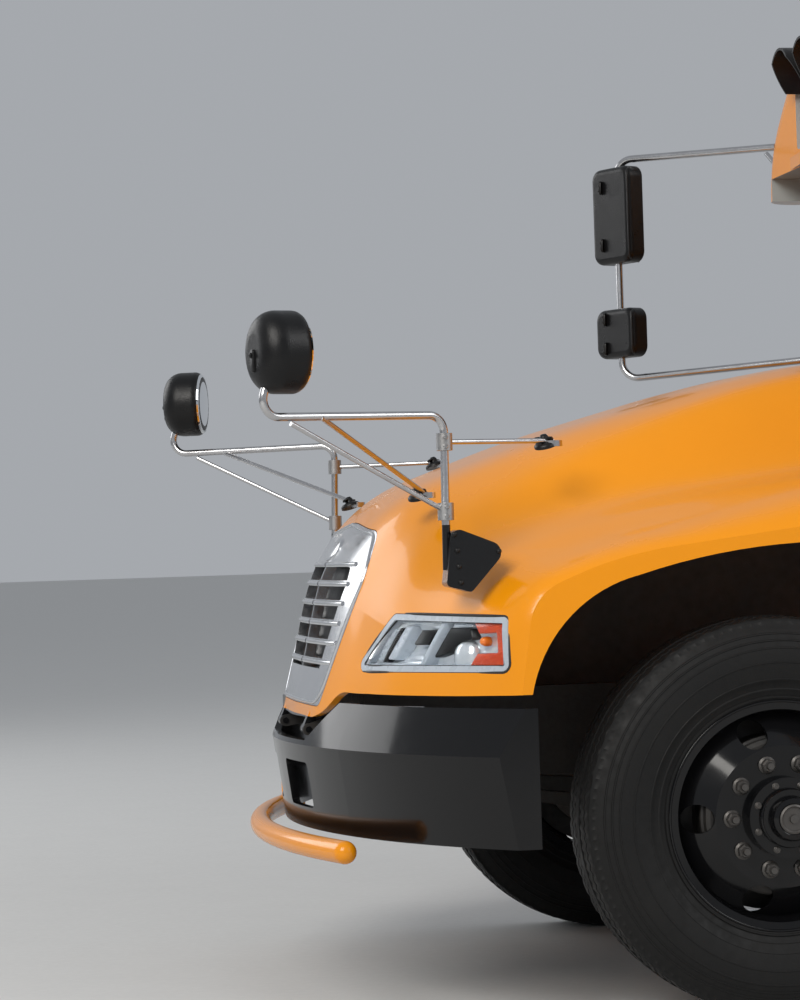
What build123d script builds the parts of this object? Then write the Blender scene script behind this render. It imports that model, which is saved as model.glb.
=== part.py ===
from build123d import *
import os
from math import radians, sin, cos, atan2, sqrt

os.makedirs("parts", exist_ok=True)

# School bus with a tilting fibreglass nose, in millimetres. +X is forward, +Y is the driver's side
# (left), +Z is up. The origin is on the ground, under the middle of the whole vehicle.

# Lengths along the bus, from the tips of the crossview mirrors to the rear bumper
mirror_lead = 230
front_overhang = 1190
wheelbase = 6400
rear_overhang = 3350
total_length = mirror_lead + front_overhang + wheelbase + rear_overhang
front_axle_x = total_length / 2 - mirror_lead - front_overhang
rear_axle_x = front_axle_x - wheelbase
tail_x = rear_axle_x - rear_overhang

# Body shell
body_half = 1200
wall = 40
skirt_z = 640
floor_top = 970
floor_thick = 40
eave_z = 2400
crown_z = 3115
roof_corner_r = 400
roof_skin = 45
rear_round = 180
rear_wall_x = tail_x + 130
seam_x = front_axle_x - 850
wall_front_x = front_axle_x - 900

# Side windows
window_pitch = 697
window_wide = 600
window_sill = 1700
window_head = 2360
window_count = 11
window_start_x = front_axle_x - 1800
window_corner = 45
sash_border = 28
sash_thick = 30
pane_thick = 8
driver_window_x = front_axle_x - 1235
driver_window_wide = 610
driver_window_sill = 1640
rear_window_y = 775
rear_window_z = 2030
rear_window_wide = 420
rear_window_high = 560

# Roof section: corner arcs tangent to one crown arc
eave_rise = crown_z - eave_z
crown_r = ((body_half - roof_corner_r) ** 2 + eave_rise**2 - roof_corner_r**2) / (
    2 * (eave_rise - roof_corner_r)
)
crown_centre_z = crown_z - crown_r
corner_centre_y = body_half - roof_corner_r

# Cowl and windshield, bowed forward in plan
cowl_x = front_axle_x - 608
cowl_bow_r = 3100
cowl_top = 1890
glass_set_back = 17
glass_thick = 12
glass_half = 1085
glass_top_z = 2470
glass_top_x = front_axle_x - 706
glass_top_bow_r = 5740

# Front cap
cap_face_x = front_axle_x - 690
cap_round = 120
recess_depth = 55
recess_half = 780
recess_sill = 2534
recess_crown = 3000
recess_shoulder = 2890
brow_z = 2478
brow_thick = 40
brow_lead = 44

# Wheels
tyre_r = 526
tyre_wide = 279
tyre_bore_r = 290
axle_z = tyre_r
rim_flange_r = 298
front_wheel_y = 1015
outer_dual_y = 1045
inner_dual_y = 715
kingpin_y = 880
steer_arm = 180
rear_arch_r = 620

# Chassis
rail_half = 430
rail_web = 10
rail_flange = 80
rail_bottom = 610
rail_top = 860

# Entry door in the right wall, rear door in the back wall
door_front_x = front_axle_x - 930
door_rear_x = front_axle_x - 1700
door_sill_z = 400
door_head_z = 2370
door_gap = 6
leaf_thick = 38
hinge_pin_r = 9
rear_door_half = 480
rear_door_sill = 985
rear_door_head = 2370

# Nose
hood_skin = 20
hood_gap = 15
hood_pivot_x = front_axle_x + 1135
hood_pivot_z = 755
hood_hem = 873
fender_leg_z = 640

# Front bumper
bumper_bottom = 475
bumper_crease = 715
bumper_top = 838
bumper_skin = 22


def bow_back(radius, half):
    """How far an arc of this radius falls back at this distance from the centre line."""
    return radius - sqrt(radius**2 - half**2)


# Nose sections across the bus, each from the bottom edge up the face, over the brow and back along
# the top. Distances u are ahead of the front axle; the mid and bend corners stand at fixed u.
nose_mid_x = front_axle_x + 430
nose_bend_x = front_axle_x - 230
nose_end_x = front_axle_x - 860
nose_bend_r = 2400
hood_table = [
    # y, bottom u, bottom z, brow u, brow z, brow r, mid z, mid r, bend z, end z
    (0, 1142, 785, 1007, 1374, 500, 1580, 3500, 1760, 1792),
    (200, 1136, 788, 1002, 1372, 500, 1578, 3500, 1758, 1790),
    (340, 1125, 795, 995, 1366, 500, 1577, 3500, 1757, 1789),
    (430, 1098, 826, 980, 1355, 490, 1571, 3500, 1754, 1786),
    (490, 1072, 862, 965, 1340, 480, 1562, 3500, 1750, 1783),
    (550, 1048, 866, 953, 1316, 460, 1546, 3500, 1740, 1777),
    (620, 1024, 866, 940, 1290, 440, 1515, 3500, 1722, 1762),
    (690, 1000, 866, 925, 1262, 400, 1462, 3500, 1632, 1690),
]
fender_table = [
    # inset from the side, then as above
    (450, 975, 866, 908, 1238, 370, 1400, 3500, 1530, 1600),
    (390, 945, 866, 885, 1213, 340, 1362, 2600, 1462, 1505),
    (270, 880, 867, 832, 1190, 300, 1322, 3000, 1432, 1465),
    (150, 810, 869, 772, 1174, 250, 1275, 2500, 1412, 1440),
    (70, 756, 871, 728, 1155, 200, 1258, 1600, 1378, 1405),
    (20, 718, 872, 690, 1140, 160, 1240, 1300, 1335, 1362),
    (0, 700, 873, 660, 1130, 130, 1226, 1000, 1305, 1330),
]


def nose_profile(y, row, inset):
    """One closed slice of the nose in X and Z, drawn inset from the outer skin and then deeper."""
    bottom_u, bottom_z, brow_u, brow_z, brow_r, mid_z, mid_r, bend_z, end_z = row
    drop = 60 if inset else 0
    lean = (brow_u - bottom_u) / (brow_z - bottom_z)
    low_z = bottom_z - drop
    bottom = (front_axle_x + bottom_u - inset - drop * lean, low_z)
    brow = (front_axle_x + brow_u - 0.8 * inset, brow_z - 0.78 * inset)
    mid = (nose_mid_x, mid_z - 1.05 * inset)
    bend = (nose_bend_x, bend_z - inset)
    end = (nose_end_x - (1 if inset else 0), end_z - inset)
    radii = (brow_r - inset, mid_r - inset, nose_bend_r - inset)
    with BuildSketch(Plane.XZ.offset(-y)) as slice_face:
        with BuildLine():
            FilletPolyline(bottom, brow, mid, bend, end, radius=radii)
            Polyline(end, (end[0], low_z), bottom)
        make_face()
    return slice_face.sketch


def nose_form(inset):
    """The solid nose, made smaller by the inset on every outer side."""
    squeeze = (body_half - inset) / body_half
    half = [(row[0], row[1:]) for row in hood_table]
    half += [(body_half - row[0], row[1:]) for row in fender_table]
    rows = [(-y, row) for y, row in reversed(half[1:])] + half
    with BuildPart() as form:
        for y, row in rows:
            add(nose_profile(y * squeeze, row, inset))
        loft()
    return form.part


nose_outer = nose_form(0)
nose_inner = nose_form(hood_skin)
lamp_outline = [
    # corners of a headlamp in Y and Z
    (540, 924), (717, 1085), (1150, 1076), (1168, 930),
]
grille_outline = [
    # half width, z and corner radius of the shield, from the foot up
    (362, 822, 30), (512, 1185, 170), (425, 1312, 90),
]
grille_crown_z = 1346
grille_crown_r = 1500


def cowl_plan(shift, half, rear_x):
    """Plan behind the cowl's bowed face, moved forward by the shift, to this half width and rear x."""
    front = cowl_x + shift
    side = front - bow_back(cowl_bow_r + shift, half)
    with BuildSketch() as plan:
        with BuildLine():
            ThreePointArc((side, -half), (front, 0), (side, half))
            Polyline((side, half), (rear_x, half), (rear_x, -half), (side, -half))
        make_face()
    return plan.sketch


def lamp_face(side, grow):
    """Outline of one headlamp, grown on all sides, in Y and Z."""
    with BuildSketch() as face:
        with BuildLine():
            FilletPolyline([(side * y, z) for y, z in lamp_outline], radius=22, close=True)
        make_face()
        offset(amount=grow)
    return face.sketch


def grille_face(grow):
    """Outline of the shield, grown on all sides, in Y and Z."""
    right = [((y, z), r) for y, z, r in grille_outline]
    left = [((-y, z), r) for y, z, r in reversed(grille_outline)]
    corners = right + [((0, grille_crown_z), grille_crown_r)] + left
    with BuildSketch() as face:
        with BuildLine():
            FilletPolyline(
                [point for point, r in corners], radius=[r for point, r in corners], close=True
            )
        make_face()
        offset(amount=grow)
    return face.sketch


nose_face_plane = Plane.YZ.offset(front_axle_x + 500)

hood_lug_y = 260
hood_lug_r = 17
hood_lug_wide = 34
hood_lug_gap = 3
hood_lug_top = grille_outline[0][1] - 5
hood_cheek = 12
hood_pin_long = hood_lug_wide + 2 * (hood_lug_gap + hood_cheek) + 8

# Tilting nose: one shell of hood, fenders and chin, cut for wheels, grille and headlamps
with BuildPart() as hood:
    add(nose_outer)
    add(nose_inner, mode=Mode.SUBTRACT)
    # Fender legs behind the front wheels
    for side in (-1, 1):
        with BuildSketch(Plane.XZ.offset(-side * (body_half - hood_skin / 2))):
            with BuildLine():
                Polyline(
                    (nose_end_x, fender_leg_z), (front_axle_x - 560, fender_leg_z),
                    (front_axle_x - 560, 1000), (nose_end_x, 1000), (nose_end_x, fender_leg_z),
                )
            make_face()
        extrude(amount=hood_skin / 2, both=True)
    # The rear edge follows the cowl at an even gap
    with BuildSketch(Plane.XY.offset(fender_leg_z - 10)):
        add(cowl_plan(hood_gap, body_half + 20, nose_end_x - 100))
    extrude(amount=1300, mode=Mode.SUBTRACT)
    # Wheel arches
    with BuildSketch(Plane.XZ.offset(-body_half - 1)):
        with BuildLine():
            arch = [
                # u, z along the front, top and rear of the opening
                (674, 560), (674, 863), (575, 1062), (380, 1172), (217, 1212), (-53, 1243),
                (-330, 1180), (-560, 960), (-625, 560),
            ]
            points = [(front_axle_x + u, z) for u, z in arch]
            Line(points[0], points[1])
            ThreePointArc(points[1], points[2], points[3])
            ThreePointArc(points[3], points[4], points[5])
            ThreePointArc(points[5], points[6], points[7])
            Line(points[7], points[8])
            Line(points[8], points[0])
        make_face()
    extrude(amount=2 * body_half + 2, mode=Mode.SUBTRACT)
    # Open underneath, behind the chin
    with Locations(((nose_end_x + nose_mid_x) / 2, 0, hood_hem + 20 - 200)):
        Box(nose_mid_x - nose_end_x + 200, 2 * body_half - 60, 400, mode=Mode.SUBTRACT)
    with BuildSketch(nose_face_plane):
        add(grille_face(0))
    extrude(amount=800, mode=Mode.SUBTRACT)
    for side in (-1, 1):
        with BuildSketch(nose_face_plane):
            add(lamp_face(side, 0))
        extrude(amount=800, mode=Mode.SUBTRACT)
    # Hinge lugs under the chin, each on its pin
    for side in (-1, 1):
        with BuildSketch(Plane.XZ.offset(-side * hood_lug_y)):
            with BuildLine():
                Polyline(
                    (hood_pivot_x - hood_lug_r, hood_pivot_z), (hood_pivot_x + hood_lug_r, hood_pivot_z),
                    (hood_pivot_x - 10, hood_lug_top), (hood_pivot_x - 30, hood_lug_top),
                    close=True,
                )
            make_face()
            with Locations((hood_pivot_x, hood_pivot_z)):
                Circle(hood_lug_r)
        extrude(amount=hood_lug_wide / 2, both=True)
        with Locations(Location((hood_pivot_x, side * hood_lug_y, hood_pivot_z), (90, 0, 0))):
            Cylinder(hinge_pin_r, hood_pin_long)
hood.part.label = "hood"
export_step(hood.part, "parts/hood.step")

# Grille: a shield frame with level bars and an upright, raked like the nose behind it
grille_frame = 105
grille_deep = 30
grille_gap = 2
slot_pitch = 55
slot_bar = 15
slot_low_z = 845
slot_count = 7
grille_back = nose_form(grille_deep)
with BuildPart() as grille:
    with BuildSketch(nose_face_plane):
        add(grille_face(-grille_gap))
    extrude(amount=800)
    add(nose_outer, mode=Mode.INTERSECT)
    add(grille_back, mode=Mode.SUBTRACT)
    with BuildSketch(nose_face_plane):
        add(grille_face(-grille_frame))
        with Locations((0, slot_low_z + slot_count * slot_pitch + 300)):
            Rectangle(1200, 600, mode=Mode.SUBTRACT)
        for i in range(slot_count):
            with Locations((0, slot_low_z + (i + 1) * slot_pitch - slot_bar / 2)):
                Rectangle(1200, slot_bar, mode=Mode.SUBTRACT)
        Rectangle(14, 5000, mode=Mode.SUBTRACT)
    extrude(amount=800, mode=Mode.SUBTRACT)
grille.part.label = "grille"
export_step(grille.part, "parts/grille.step")

# Headlamps: open buckets set in the nose, each with two bowls
lamp_gap = 2
lamp_rim = 16
lamp_back = nose_form(95)
lamp_floor = nose_form(70)
lamp_plane = Plane.YZ.offset(front_axle_x + 700)
with BuildPart() as headlamps:
    for side in (-1, 1):
        with BuildSketch(lamp_plane):
            add(lamp_face(side, -lamp_gap))
        extrude(amount=800)
    add(nose_outer, mode=Mode.INTERSECT)
    add(lamp_back, mode=Mode.SUBTRACT)
with BuildPart(mode=Mode.PRIVATE) as lamp_hollows:
    for side in (-1, 1):
        with BuildSketch(lamp_plane):
            add(lamp_face(side, -lamp_gap - lamp_rim))
        extrude(amount=800)
    add(lamp_floor, mode=Mode.SUBTRACT)
headlamps.part = headlamps.part - lamp_hollows.part
headlamps.part.label = "headlamps"
export_step(headlamps.part, "parts/headlamps.step")

# Front bumper: a bent skin, fullest at its crease, notched for the chin of the nose
bumper_table = [
    # z, u on the centre line, at y 600, at y 950 and at the ends
    (bumper_bottom, 1158, 1064, 905, 722),
    (bumper_crease, 1190, 1098, 943, 765),
    (bumper_top, 1150, 1052, 893, 690),
]
bumper_end_y = 1200


def bumper_plan(z, inset, u_mid, u_600, u_950, u_end):
    """Plan of the bumper's outline at one height, drawn back by the inset, closed well behind."""
    x = [front_axle_x + u - inset for u in (u_mid, u_600, u_950, u_end)]
    end_y = bumper_end_y - 0.4 * inset
    with BuildSketch(Plane.XY.offset(z)) as plan:
        with BuildLine():
            ThreePointArc((x[1], -600), (x[0], 0), (x[1], 600))
            ThreePointArc((x[1], 600), (x[2], 950), (x[3], end_y))
            Polyline(
                (x[3], end_y), (front_axle_x + 560, end_y), (front_axle_x + 560, -end_y),
                (x[3], -end_y),
            )
            ThreePointArc((x[3], -end_y), (x[2], -950), (x[1], -600))
        make_face()
    return plan.sketch


with BuildPart(mode=Mode.PRIVATE) as bumper_hollow:
    for row in bumper_table:
        add(bumper_plan(row[0], bumper_skin, *row[1:]))
    loft(ruled=True)
with BuildPart(mode=Mode.PRIVATE) as bumper_outer:
    for row in bumper_table:
        add(bumper_plan(row[0], 0, *row[1:]))
    loft(ruled=True)
with BuildPart() as front_bumper:
    add(bumper_outer.part)
    add(bumper_hollow.part, mode=Mode.SUBTRACT)
    with Locations((front_axle_x + 560, 0, bumper_crease)):
        Box(200, 3000, 600, mode=Mode.SUBTRACT)
    # Notch under the chin, and two tow openings
    with BuildSketch(Plane.YZ.offset(front_axle_x + 900)):
        with BuildLine():
            Polyline(
                (-520, bumper_top + 1), (-340, 728), (340, 728), (520, bumper_top + 1), close=True
            )
        make_face()
        for side in (-1, 1):
            with Locations((side * 225, 600)):
                RectangleRounded(250, 130, 18)
    extrude(amount=400, mode=Mode.SUBTRACT)
    # Arms back to the rails
    for side in (-1, 1):
        with Locations((front_axle_x + 1060, side * (rail_half - rail_flange / 2), 640)):
            Box(130, rail_flange, 60)
front_bumper.part.label = "front_bumper"
export_step(front_bumper.part, "parts/front_bumper.step")

# Frame rails and crossmembers
pin_clear = 0.5
rail_front_x = front_axle_x + 995
rail_rear_x = rear_wall_x + wall + 2
crossmember_wide = 90
crossmember_high = 80
with BuildPart() as chassis_frame:
    for side in (-1, 1):
        with BuildSketch(Plane.YZ.offset(rail_rear_x)):
            with Locations((side * (rail_half - rail_flange / 2), (rail_bottom + rail_top) / 2)):
                Rectangle(rail_flange, rail_top - rail_bottom)
            with Locations(
                (side * (rail_half - rail_web - rail_flange / 2), (rail_bottom + rail_top) / 2)
            ):
                Rectangle(rail_flange, rail_top - rail_bottom - 2 * rail_web, mode=Mode.SUBTRACT)
        extrude(amount=rail_front_x - rail_rear_x)
    crossmembers = [rail_front_x - 55, front_axle_x + 620, front_axle_x - 560]
    crossmembers += [rear_axle_x + 700, rear_axle_x - 700, rail_rear_x + 60]
    bay = (front_axle_x - 560 - rear_axle_x - 700) / 4
    crossmembers += [rear_axle_x + 700 + i * bay for i in (1, 2, 3)]
    for x in crossmembers:
        with Locations((x, 0, rail_top - rail_web - crossmember_high / 2)):
            Box(crossmember_wide, 2 * (rail_half - rail_web), crossmember_high)
    # Cheeks that carry the pins of the nose
    cheek_off = hood_lug_wide / 2 + hood_lug_gap + hood_cheek / 2
    for side in (-1, 1):
        for off in (-cheek_off, cheek_off):
            with BuildSketch(Plane.XZ.offset(-side * hood_lug_y - off)):
                with BuildLine():
                    Polyline(
                        (rail_front_x - 60, rail_top - 20), (rail_front_x - 60, rail_top - 90),
                        (hood_pivot_x - 4, hood_pivot_z - hood_lug_r),
                        (hood_pivot_x - 4, hood_pivot_z + hood_lug_r), close=True,
                    )
                make_face()
                with Locations((hood_pivot_x, hood_pivot_z)):
                    Circle(hood_lug_r)
                    Circle(hinge_pin_r + pin_clear, mode=Mode.SUBTRACT)
            extrude(amount=hood_cheek / 2, both=True)
chassis_frame.part.label = "chassis_frame"
export_step(chassis_frame.part, "parts/chassis_frame.step")

# Engine with its gearbox as one plain block carried by the rails, and the radiator ahead of it
engine_half = 280
engine_low = 660
engine_high = 1360
with BuildPart() as engine:
    with Locations((front_axle_x, 0, (engine_low + engine_high) / 2)):
        Box(1000, 2 * engine_half, engine_high - engine_low)
    with Locations((front_axle_x, 0, rail_top - rail_web - 40)):
        Box(500, 2 * (rail_half - rail_web), 50)
    with Locations((front_axle_x + 640, 0, rail_top + 260)):
        Box(90, 760, 520)
engine.part.label = "engine"
export_step(engine.part, "parts/engine.step")

# Front axle: a dropped beam with kingpin eyes
beam_drop_z = 430
eye_high = 120
pin_r = 20
with BuildPart() as front_axle:
    with BuildSketch(Plane.YZ.offset(front_axle_x - 45)):
        with BuildLine():
            Polyline(
                (-kingpin_y, axle_z + 45), (-kingpin_y, axle_z - 45), (-640, axle_z - 45),
                (-520, beam_drop_z - 50), (520, beam_drop_z - 50), (640, axle_z - 45),
                (kingpin_y, axle_z - 45), (kingpin_y, axle_z + 45), (600, axle_z + 45),
                (480, beam_drop_z + 50), (-480, beam_drop_z + 50), (-600, axle_z + 45),
                (-kingpin_y, axle_z + 45),
            )
        make_face()
    extrude(amount=90)
    for side in (-1, 1):
        with Locations((front_axle_x, side * kingpin_y, axle_z)):
            Cylinder(48, eye_high)
            Cylinder(pin_r + pin_clear, eye_high + 2, mode=Mode.SUBTRACT)
        with Locations((front_axle_x, side * (kingpin_y + 51), axle_z)):
            Box(200, 6, 200, mode=Mode.SUBTRACT)
front_axle.part.label = "front_axle"
export_step(front_axle.part, "parts/front_axle.step")

spring_wide = 76
hanger_deep = 60
front_spring_y = rail_half - spring_wide / 2
rear_spring_y = rail_half + spring_wide / 2 + 5
axle_tube_r = 62
spring_table = [
    # axle x, half span, side y, seat z, eye z, leaf stack, inner side and top of the hangers
    (front_axle_x, 620, front_spring_y, beam_drop_z + 50, 560, 50, rail_half - spring_wide, rail_bottom),
    (rear_axle_x, 680, rear_spring_y, axle_z + axle_tube_r, 566, 70, rail_half, rail_bottom + 120),
]
with BuildPart() as leaf_springs:
    for axle_x, half_span, y, seat, eye, stack, inner_y, top in spring_table:
        for side in (-1, 1):
            with BuildSketch(Plane.XZ.offset(-side * y)):
                with BuildLine():
                    ThreePointArc(
                        (axle_x - half_span, eye), (axle_x, seat), (axle_x + half_span, eye)
                    )
                    Line((axle_x + half_span, eye), (axle_x + half_span, eye + 22))
                    ThreePointArc(
                        (axle_x + half_span, eye + 22),
                        (axle_x, seat + stack),
                        (axle_x - half_span, eye + 22),
                    )
                    Line((axle_x - half_span, eye + 22), (axle_x - half_span, eye))
                make_face()
            extrude(amount=spring_wide / 2, both=True)
            for end in (-1, 1):
                hanger_wide = y + spring_wide / 2 - inner_y
                with Locations((
                    axle_x + end * (half_span - 15), side * (inner_y + hanger_wide / 2),
                    (eye + top) / 2,
                )):
                    Box(hanger_deep, hanger_wide, top - eye)
leaf_springs.part.label = "leaf_springs"
export_step(leaf_springs.part, "parts/leaf_springs.step")

# Steering knuckles: yokes above and below the axle eyes, with brake drum, spindle and arm
yoke_high = 40
yoke_gap = 3
yoke_z = eye_high / 2 + yoke_gap + yoke_high / 2
arm_high = 30
drum_r = 200
for side, name in ((1, "knuckle_left"), (-1, "knuckle_right")):
    with BuildPart() as knuckle:
        with Locations((front_axle_x, side * kingpin_y, axle_z)):
            Cylinder(pin_r, 2 * yoke_z)
        for level in (-1, 1):
            with Locations((front_axle_x, side * kingpin_y, axle_z + level * yoke_z)):
                Cylinder(48, yoke_high)
            with Locations((front_axle_x, side * (kingpin_y + 35), axle_z + level * yoke_z)):
                Box(90, 70, yoke_high)
        with Locations((front_axle_x, side * (kingpin_y + 66), axle_z)):
            Box(90, 26, 2 * yoke_z + yoke_high)
        with Locations(
            Location((front_axle_x, side * (kingpin_y + 110), axle_z), (90, 0, 0))
        ):
            Cylinder(drum_r, 62)
        with Locations(
            Location((front_axle_x, side * (kingpin_y + 180), axle_z), (90, 0, 0))
        ):
            Cylinder(50, 90)
        with Locations(
            (front_axle_x - steer_arm / 2 - 10, side * kingpin_y, axle_z - yoke_z)
        ):
            Box(steer_arm - 20, 40, arm_high)
        with Locations((front_axle_x - steer_arm, side * kingpin_y, axle_z - yoke_z)):
            Cylinder(28, arm_high)
    knuckle.part.label = name
    export_step(knuckle.part, f"parts/{name}.step")

tie_gap = 1
tie_end_high = 32
tie_z = axle_z - yoke_z - arm_high / 2 - tie_gap - tie_end_high / 2
with BuildPart() as tie_rod:
    for side in (-1, 1):
        with Locations((front_axle_x - steer_arm, side * kingpin_y, tie_z)):
            Cylinder(28, tie_end_high)
    with Locations(Location((front_axle_x - steer_arm, 0, tie_z), (90, 0, 0))):
        Cylinder(15, 2 * kingpin_y - 20)
tie_rod.part.label = "tie_rod"
export_step(tie_rod.part, "parts/tie_rod.step")

# Wheels: x of the axle, y of each tyre's middle plane
stud_pcd_r = 142.9
stud_count = 10
nut_r = 17
nut_tall = 26
hub_r = 105
hand_hole_r = 38
hand_hole_pcd_r = 226
hand_hole_count = 5
disc_thick = 12
disc_flat_r = 178
disc_face = 128
wheel_table = [
    # name, axle x, tyre middles, outward side
    ("front_left", front_axle_x, (front_wheel_y,), 1),
    ("front_right", front_axle_x, (front_wheel_y,), -1),
    ("rear_left", rear_axle_x, (inner_dual_y, outer_dual_y), 1),
    ("rear_right", rear_axle_x, (inner_dual_y, outer_dual_y), -1),
]
for name, axle_x, middles, side in wheel_table:
    with BuildPart() as tyre:
        for middle in middles:
            with BuildSketch(Plane((axle_x, side * middle, axle_z))):
                with BuildLine():
                    half = tyre_wide / 2
                    Line((tyre_bore_r, -95), (tyre_bore_r, 95))
                    Line((tyre_bore_r, 95), (335, 112))
                    ThreePointArc((335, 112), (420, half), (490, 122))
                    Line((490, 122), (tyre_r - 8, 112))
                    ThreePointArc((tyre_r - 8, 112), (tyre_r, 0), (tyre_r - 8, -112))
                    Line((tyre_r - 8, -112), (490, -122))
                    ThreePointArc((490, -122), (420, -half), (335, -112))
                    Line((335, -112), (tyre_bore_r, -95))
                make_face()
            revolve(axis=Axis((axle_x, 0, axle_z), (0, 1, 0)))
    tyre.part.label = name + "_tyre"
    export_step(tyre.part, f"parts/{name}_tyre.step")

    # The disc bulges outward on front wheels and on inner duals, and inward on outer duals
    with BuildPart() as rim:
        for middle in middles:
            flip = side if axle_x == front_axle_x or middle == inner_dual_y else -side
            with BuildSketch(Plane((axle_x, side * middle, axle_z))):
                with BuildLine():
                    Polyline(
                        (rim_flange_r + 6, -112), (rim_flange_r + 6, -102), (tyre_bore_r - 1, -96),
                        (tyre_bore_r - 12, -60), (tyre_bore_r - 12, 60), (tyre_bore_r - 1, 96),
                        (rim_flange_r + 6, 102), (rim_flange_r + 6, 112), (280, 110), (266, 64),
                        (266, -64), (280, -110), close=True,
                    )
                make_face()
                with BuildLine():
                    Line((270, 40 * flip), (disc_flat_r, disc_face * flip))
                    Line((disc_flat_r, disc_face * flip), (hub_r, disc_face * flip))
                    Line((hub_r, disc_face * flip), (hub_r, (disc_face + disc_thick) * flip))
                    Line(
                        (hub_r, (disc_face + disc_thick) * flip),
                        (disc_flat_r + 8, (disc_face + disc_thick) * flip),
                    )
                    Line((disc_flat_r + 8, (disc_face + disc_thick) * flip), (274, 60 * flip))
                    Line((274, 60 * flip), (270, 40 * flip))
                make_face()
            revolve(axis=Axis((axle_x, 0, axle_z), (0, 1, 0)))
            cone_plane = Plane((axle_x, side * middle, axle_z), x_dir=(1, 0, 0), z_dir=(0, 1, 0))
            with BuildSketch(cone_plane):
                with PolarLocations(hand_hole_pcd_r, hand_hole_count):
                    Circle(hand_hole_r)
            extrude(amount=flip * (disc_face + disc_thick), mode=Mode.SUBTRACT)
        # Hub and wheel nuts on the outermost disc
        face_y = middles[-1] - disc_face - disc_thick
        if axle_x == front_axle_x:
            face_y = middles[-1] + disc_face + disc_thick
        hub_low = face_y - 30 if axle_x == front_axle_x else face_y - 60
        hub_tall = 90 if axle_x == front_axle_x else 235
        face_plane = Plane((axle_x, side * face_y, axle_z), x_dir=(1, 0, 0), z_dir=(0, side, 0))
        with BuildSketch(face_plane.offset(hub_low - face_y)):
            Circle(hub_r)
        extrude(amount=hub_tall - 22)
        with BuildSketch(face_plane.offset(hub_low - face_y + hub_tall - 22)):
            Circle(hub_r - 30)
        extrude(amount=22)
        with BuildSketch(face_plane):
            with PolarLocations(stud_pcd_r, stud_count):
                RegularPolygon(nut_r, 6)
        extrude(amount=nut_tall)
    rim.part.label = name + "_rim"
    export_step(rim.part, f"parts/{name}_rim.step")

# Rear axle: housing, differential and drums
drum_in_y = 640
with BuildPart() as rear_axle:
    with Locations(Location((rear_axle_x, 0, axle_z), (90, 0, 0))):
        Cylinder(axle_tube_r, 2 * drum_in_y + 20)
    with BuildSketch(Plane((rear_axle_x, 0, axle_z))):
        with BuildLine():
            Polyline((0, -260), (62, -260))
            ThreePointArc((62, -260), (190, 0), (62, 260))
            Polyline((62, 260), (0, 260), (0, -260))
        make_face()
    revolve(axis=Axis((rear_axle_x, 0, axle_z), (0, 1, 0)))
    with Locations(Location((rear_axle_x + 205, 0, axle_z + 10), (0, 90, 0))):
        Cylinder(60, 90)
    for side in (-1, 1):
        with Locations(Location((rear_axle_x, side * (drum_in_y + 70), axle_z), (90, 0, 0))):
            Cylinder(drum_r, 140)
shaft_r = 45
shaft_front = Vector(front_axle_x - 502, 0, 712)
shaft_rear = Vector(rear_axle_x + 252, 0, axle_z + 12)
with BuildPart() as driveshaft:
    with BuildSketch(Plane(origin=shaft_front, z_dir=shaft_rear - shaft_front)):
        Circle(shaft_r)
    extrude(amount=(shaft_rear - shaft_front).length)
rear_axle.part = rear_axle.part + driveshaft.part
rear_axle.part.label = "rear_axle"
export_step(rear_axle.part, "parts/rear_axle.step")

# Floor with sills over the rails, cut out for the tubs over the rear wheels
tub_half = 640
tub_inner_y = 560
tub_top = 1130
tub_wall = 10
well_front_x = door_front_x + 25
well_rear_x = door_rear_x - 25
well_inner_y = 520
sill_pitch = 850
sill_count = 9
with BuildPart() as cabin_floor:
    with BuildSketch(Plane.XY.offset(floor_top - floor_thick)):
        add(cowl_plan(-wall, body_half - wall, rear_wall_x + rear_round))
        with Locations(((rear_wall_x + rear_round + rear_wall_x + wall) / 2, 0)):
            Rectangle(rear_round - wall, 2 * (body_half - rear_round))
    extrude(amount=floor_thick)
    for side in (-1, 1):
        with Locations((rear_axle_x, side * (body_half - wall + tub_inner_y) / 2, floor_top)):
            Box(2 * tub_half, body_half - wall - tub_inner_y, 200, mode=Mode.SUBTRACT)
    with Locations(((well_front_x + well_rear_x) / 2, -(body_half + well_inner_y) / 2, floor_top)):
        Box(well_front_x - well_rear_x, body_half - well_inner_y, 200, mode=Mode.SUBTRACT)
    sill_high = floor_top - floor_thick - rail_top
    for i in range(sill_count):
        x = door_front_x - 150 - (i + 0.5) * sill_pitch
        if abs(x - rear_axle_x) > tub_half + 50:
            with Locations((x, 0, rail_top + sill_high / 2)):
                Box(60, 2 * well_inner_y, sill_high)
cabin_floor.part.label = "cabin_floor"
export_step(cabin_floor.part, "parts/cabin_floor.step")

# Tubs over the rear wheels, open below and towards the wall
tub_wide = body_half - wall - tub_inner_y
tub_low = floor_top - floor_thick
with BuildPart() as wheel_tubs:
    for side in (-1, 1):
        with Locations((rear_axle_x, side * (tub_inner_y + tub_wide / 2), (tub_low + tub_top) / 2)):
            Box(2 * tub_half, tub_wide, tub_top - tub_low)
        with Locations((
            rear_axle_x, side * (tub_inner_y + tub_wall + tub_wide / 2), (tub_low + tub_top - tub_wall) / 2
        )):
            Box(2 * (tub_half - tub_wall), tub_wide, tub_top - tub_low - tub_wall, mode=Mode.SUBTRACT)
wheel_tubs.part.label = "wheel_tubs"
export_step(wheel_tubs.part, "parts/wheel_tubs.step")

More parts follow.
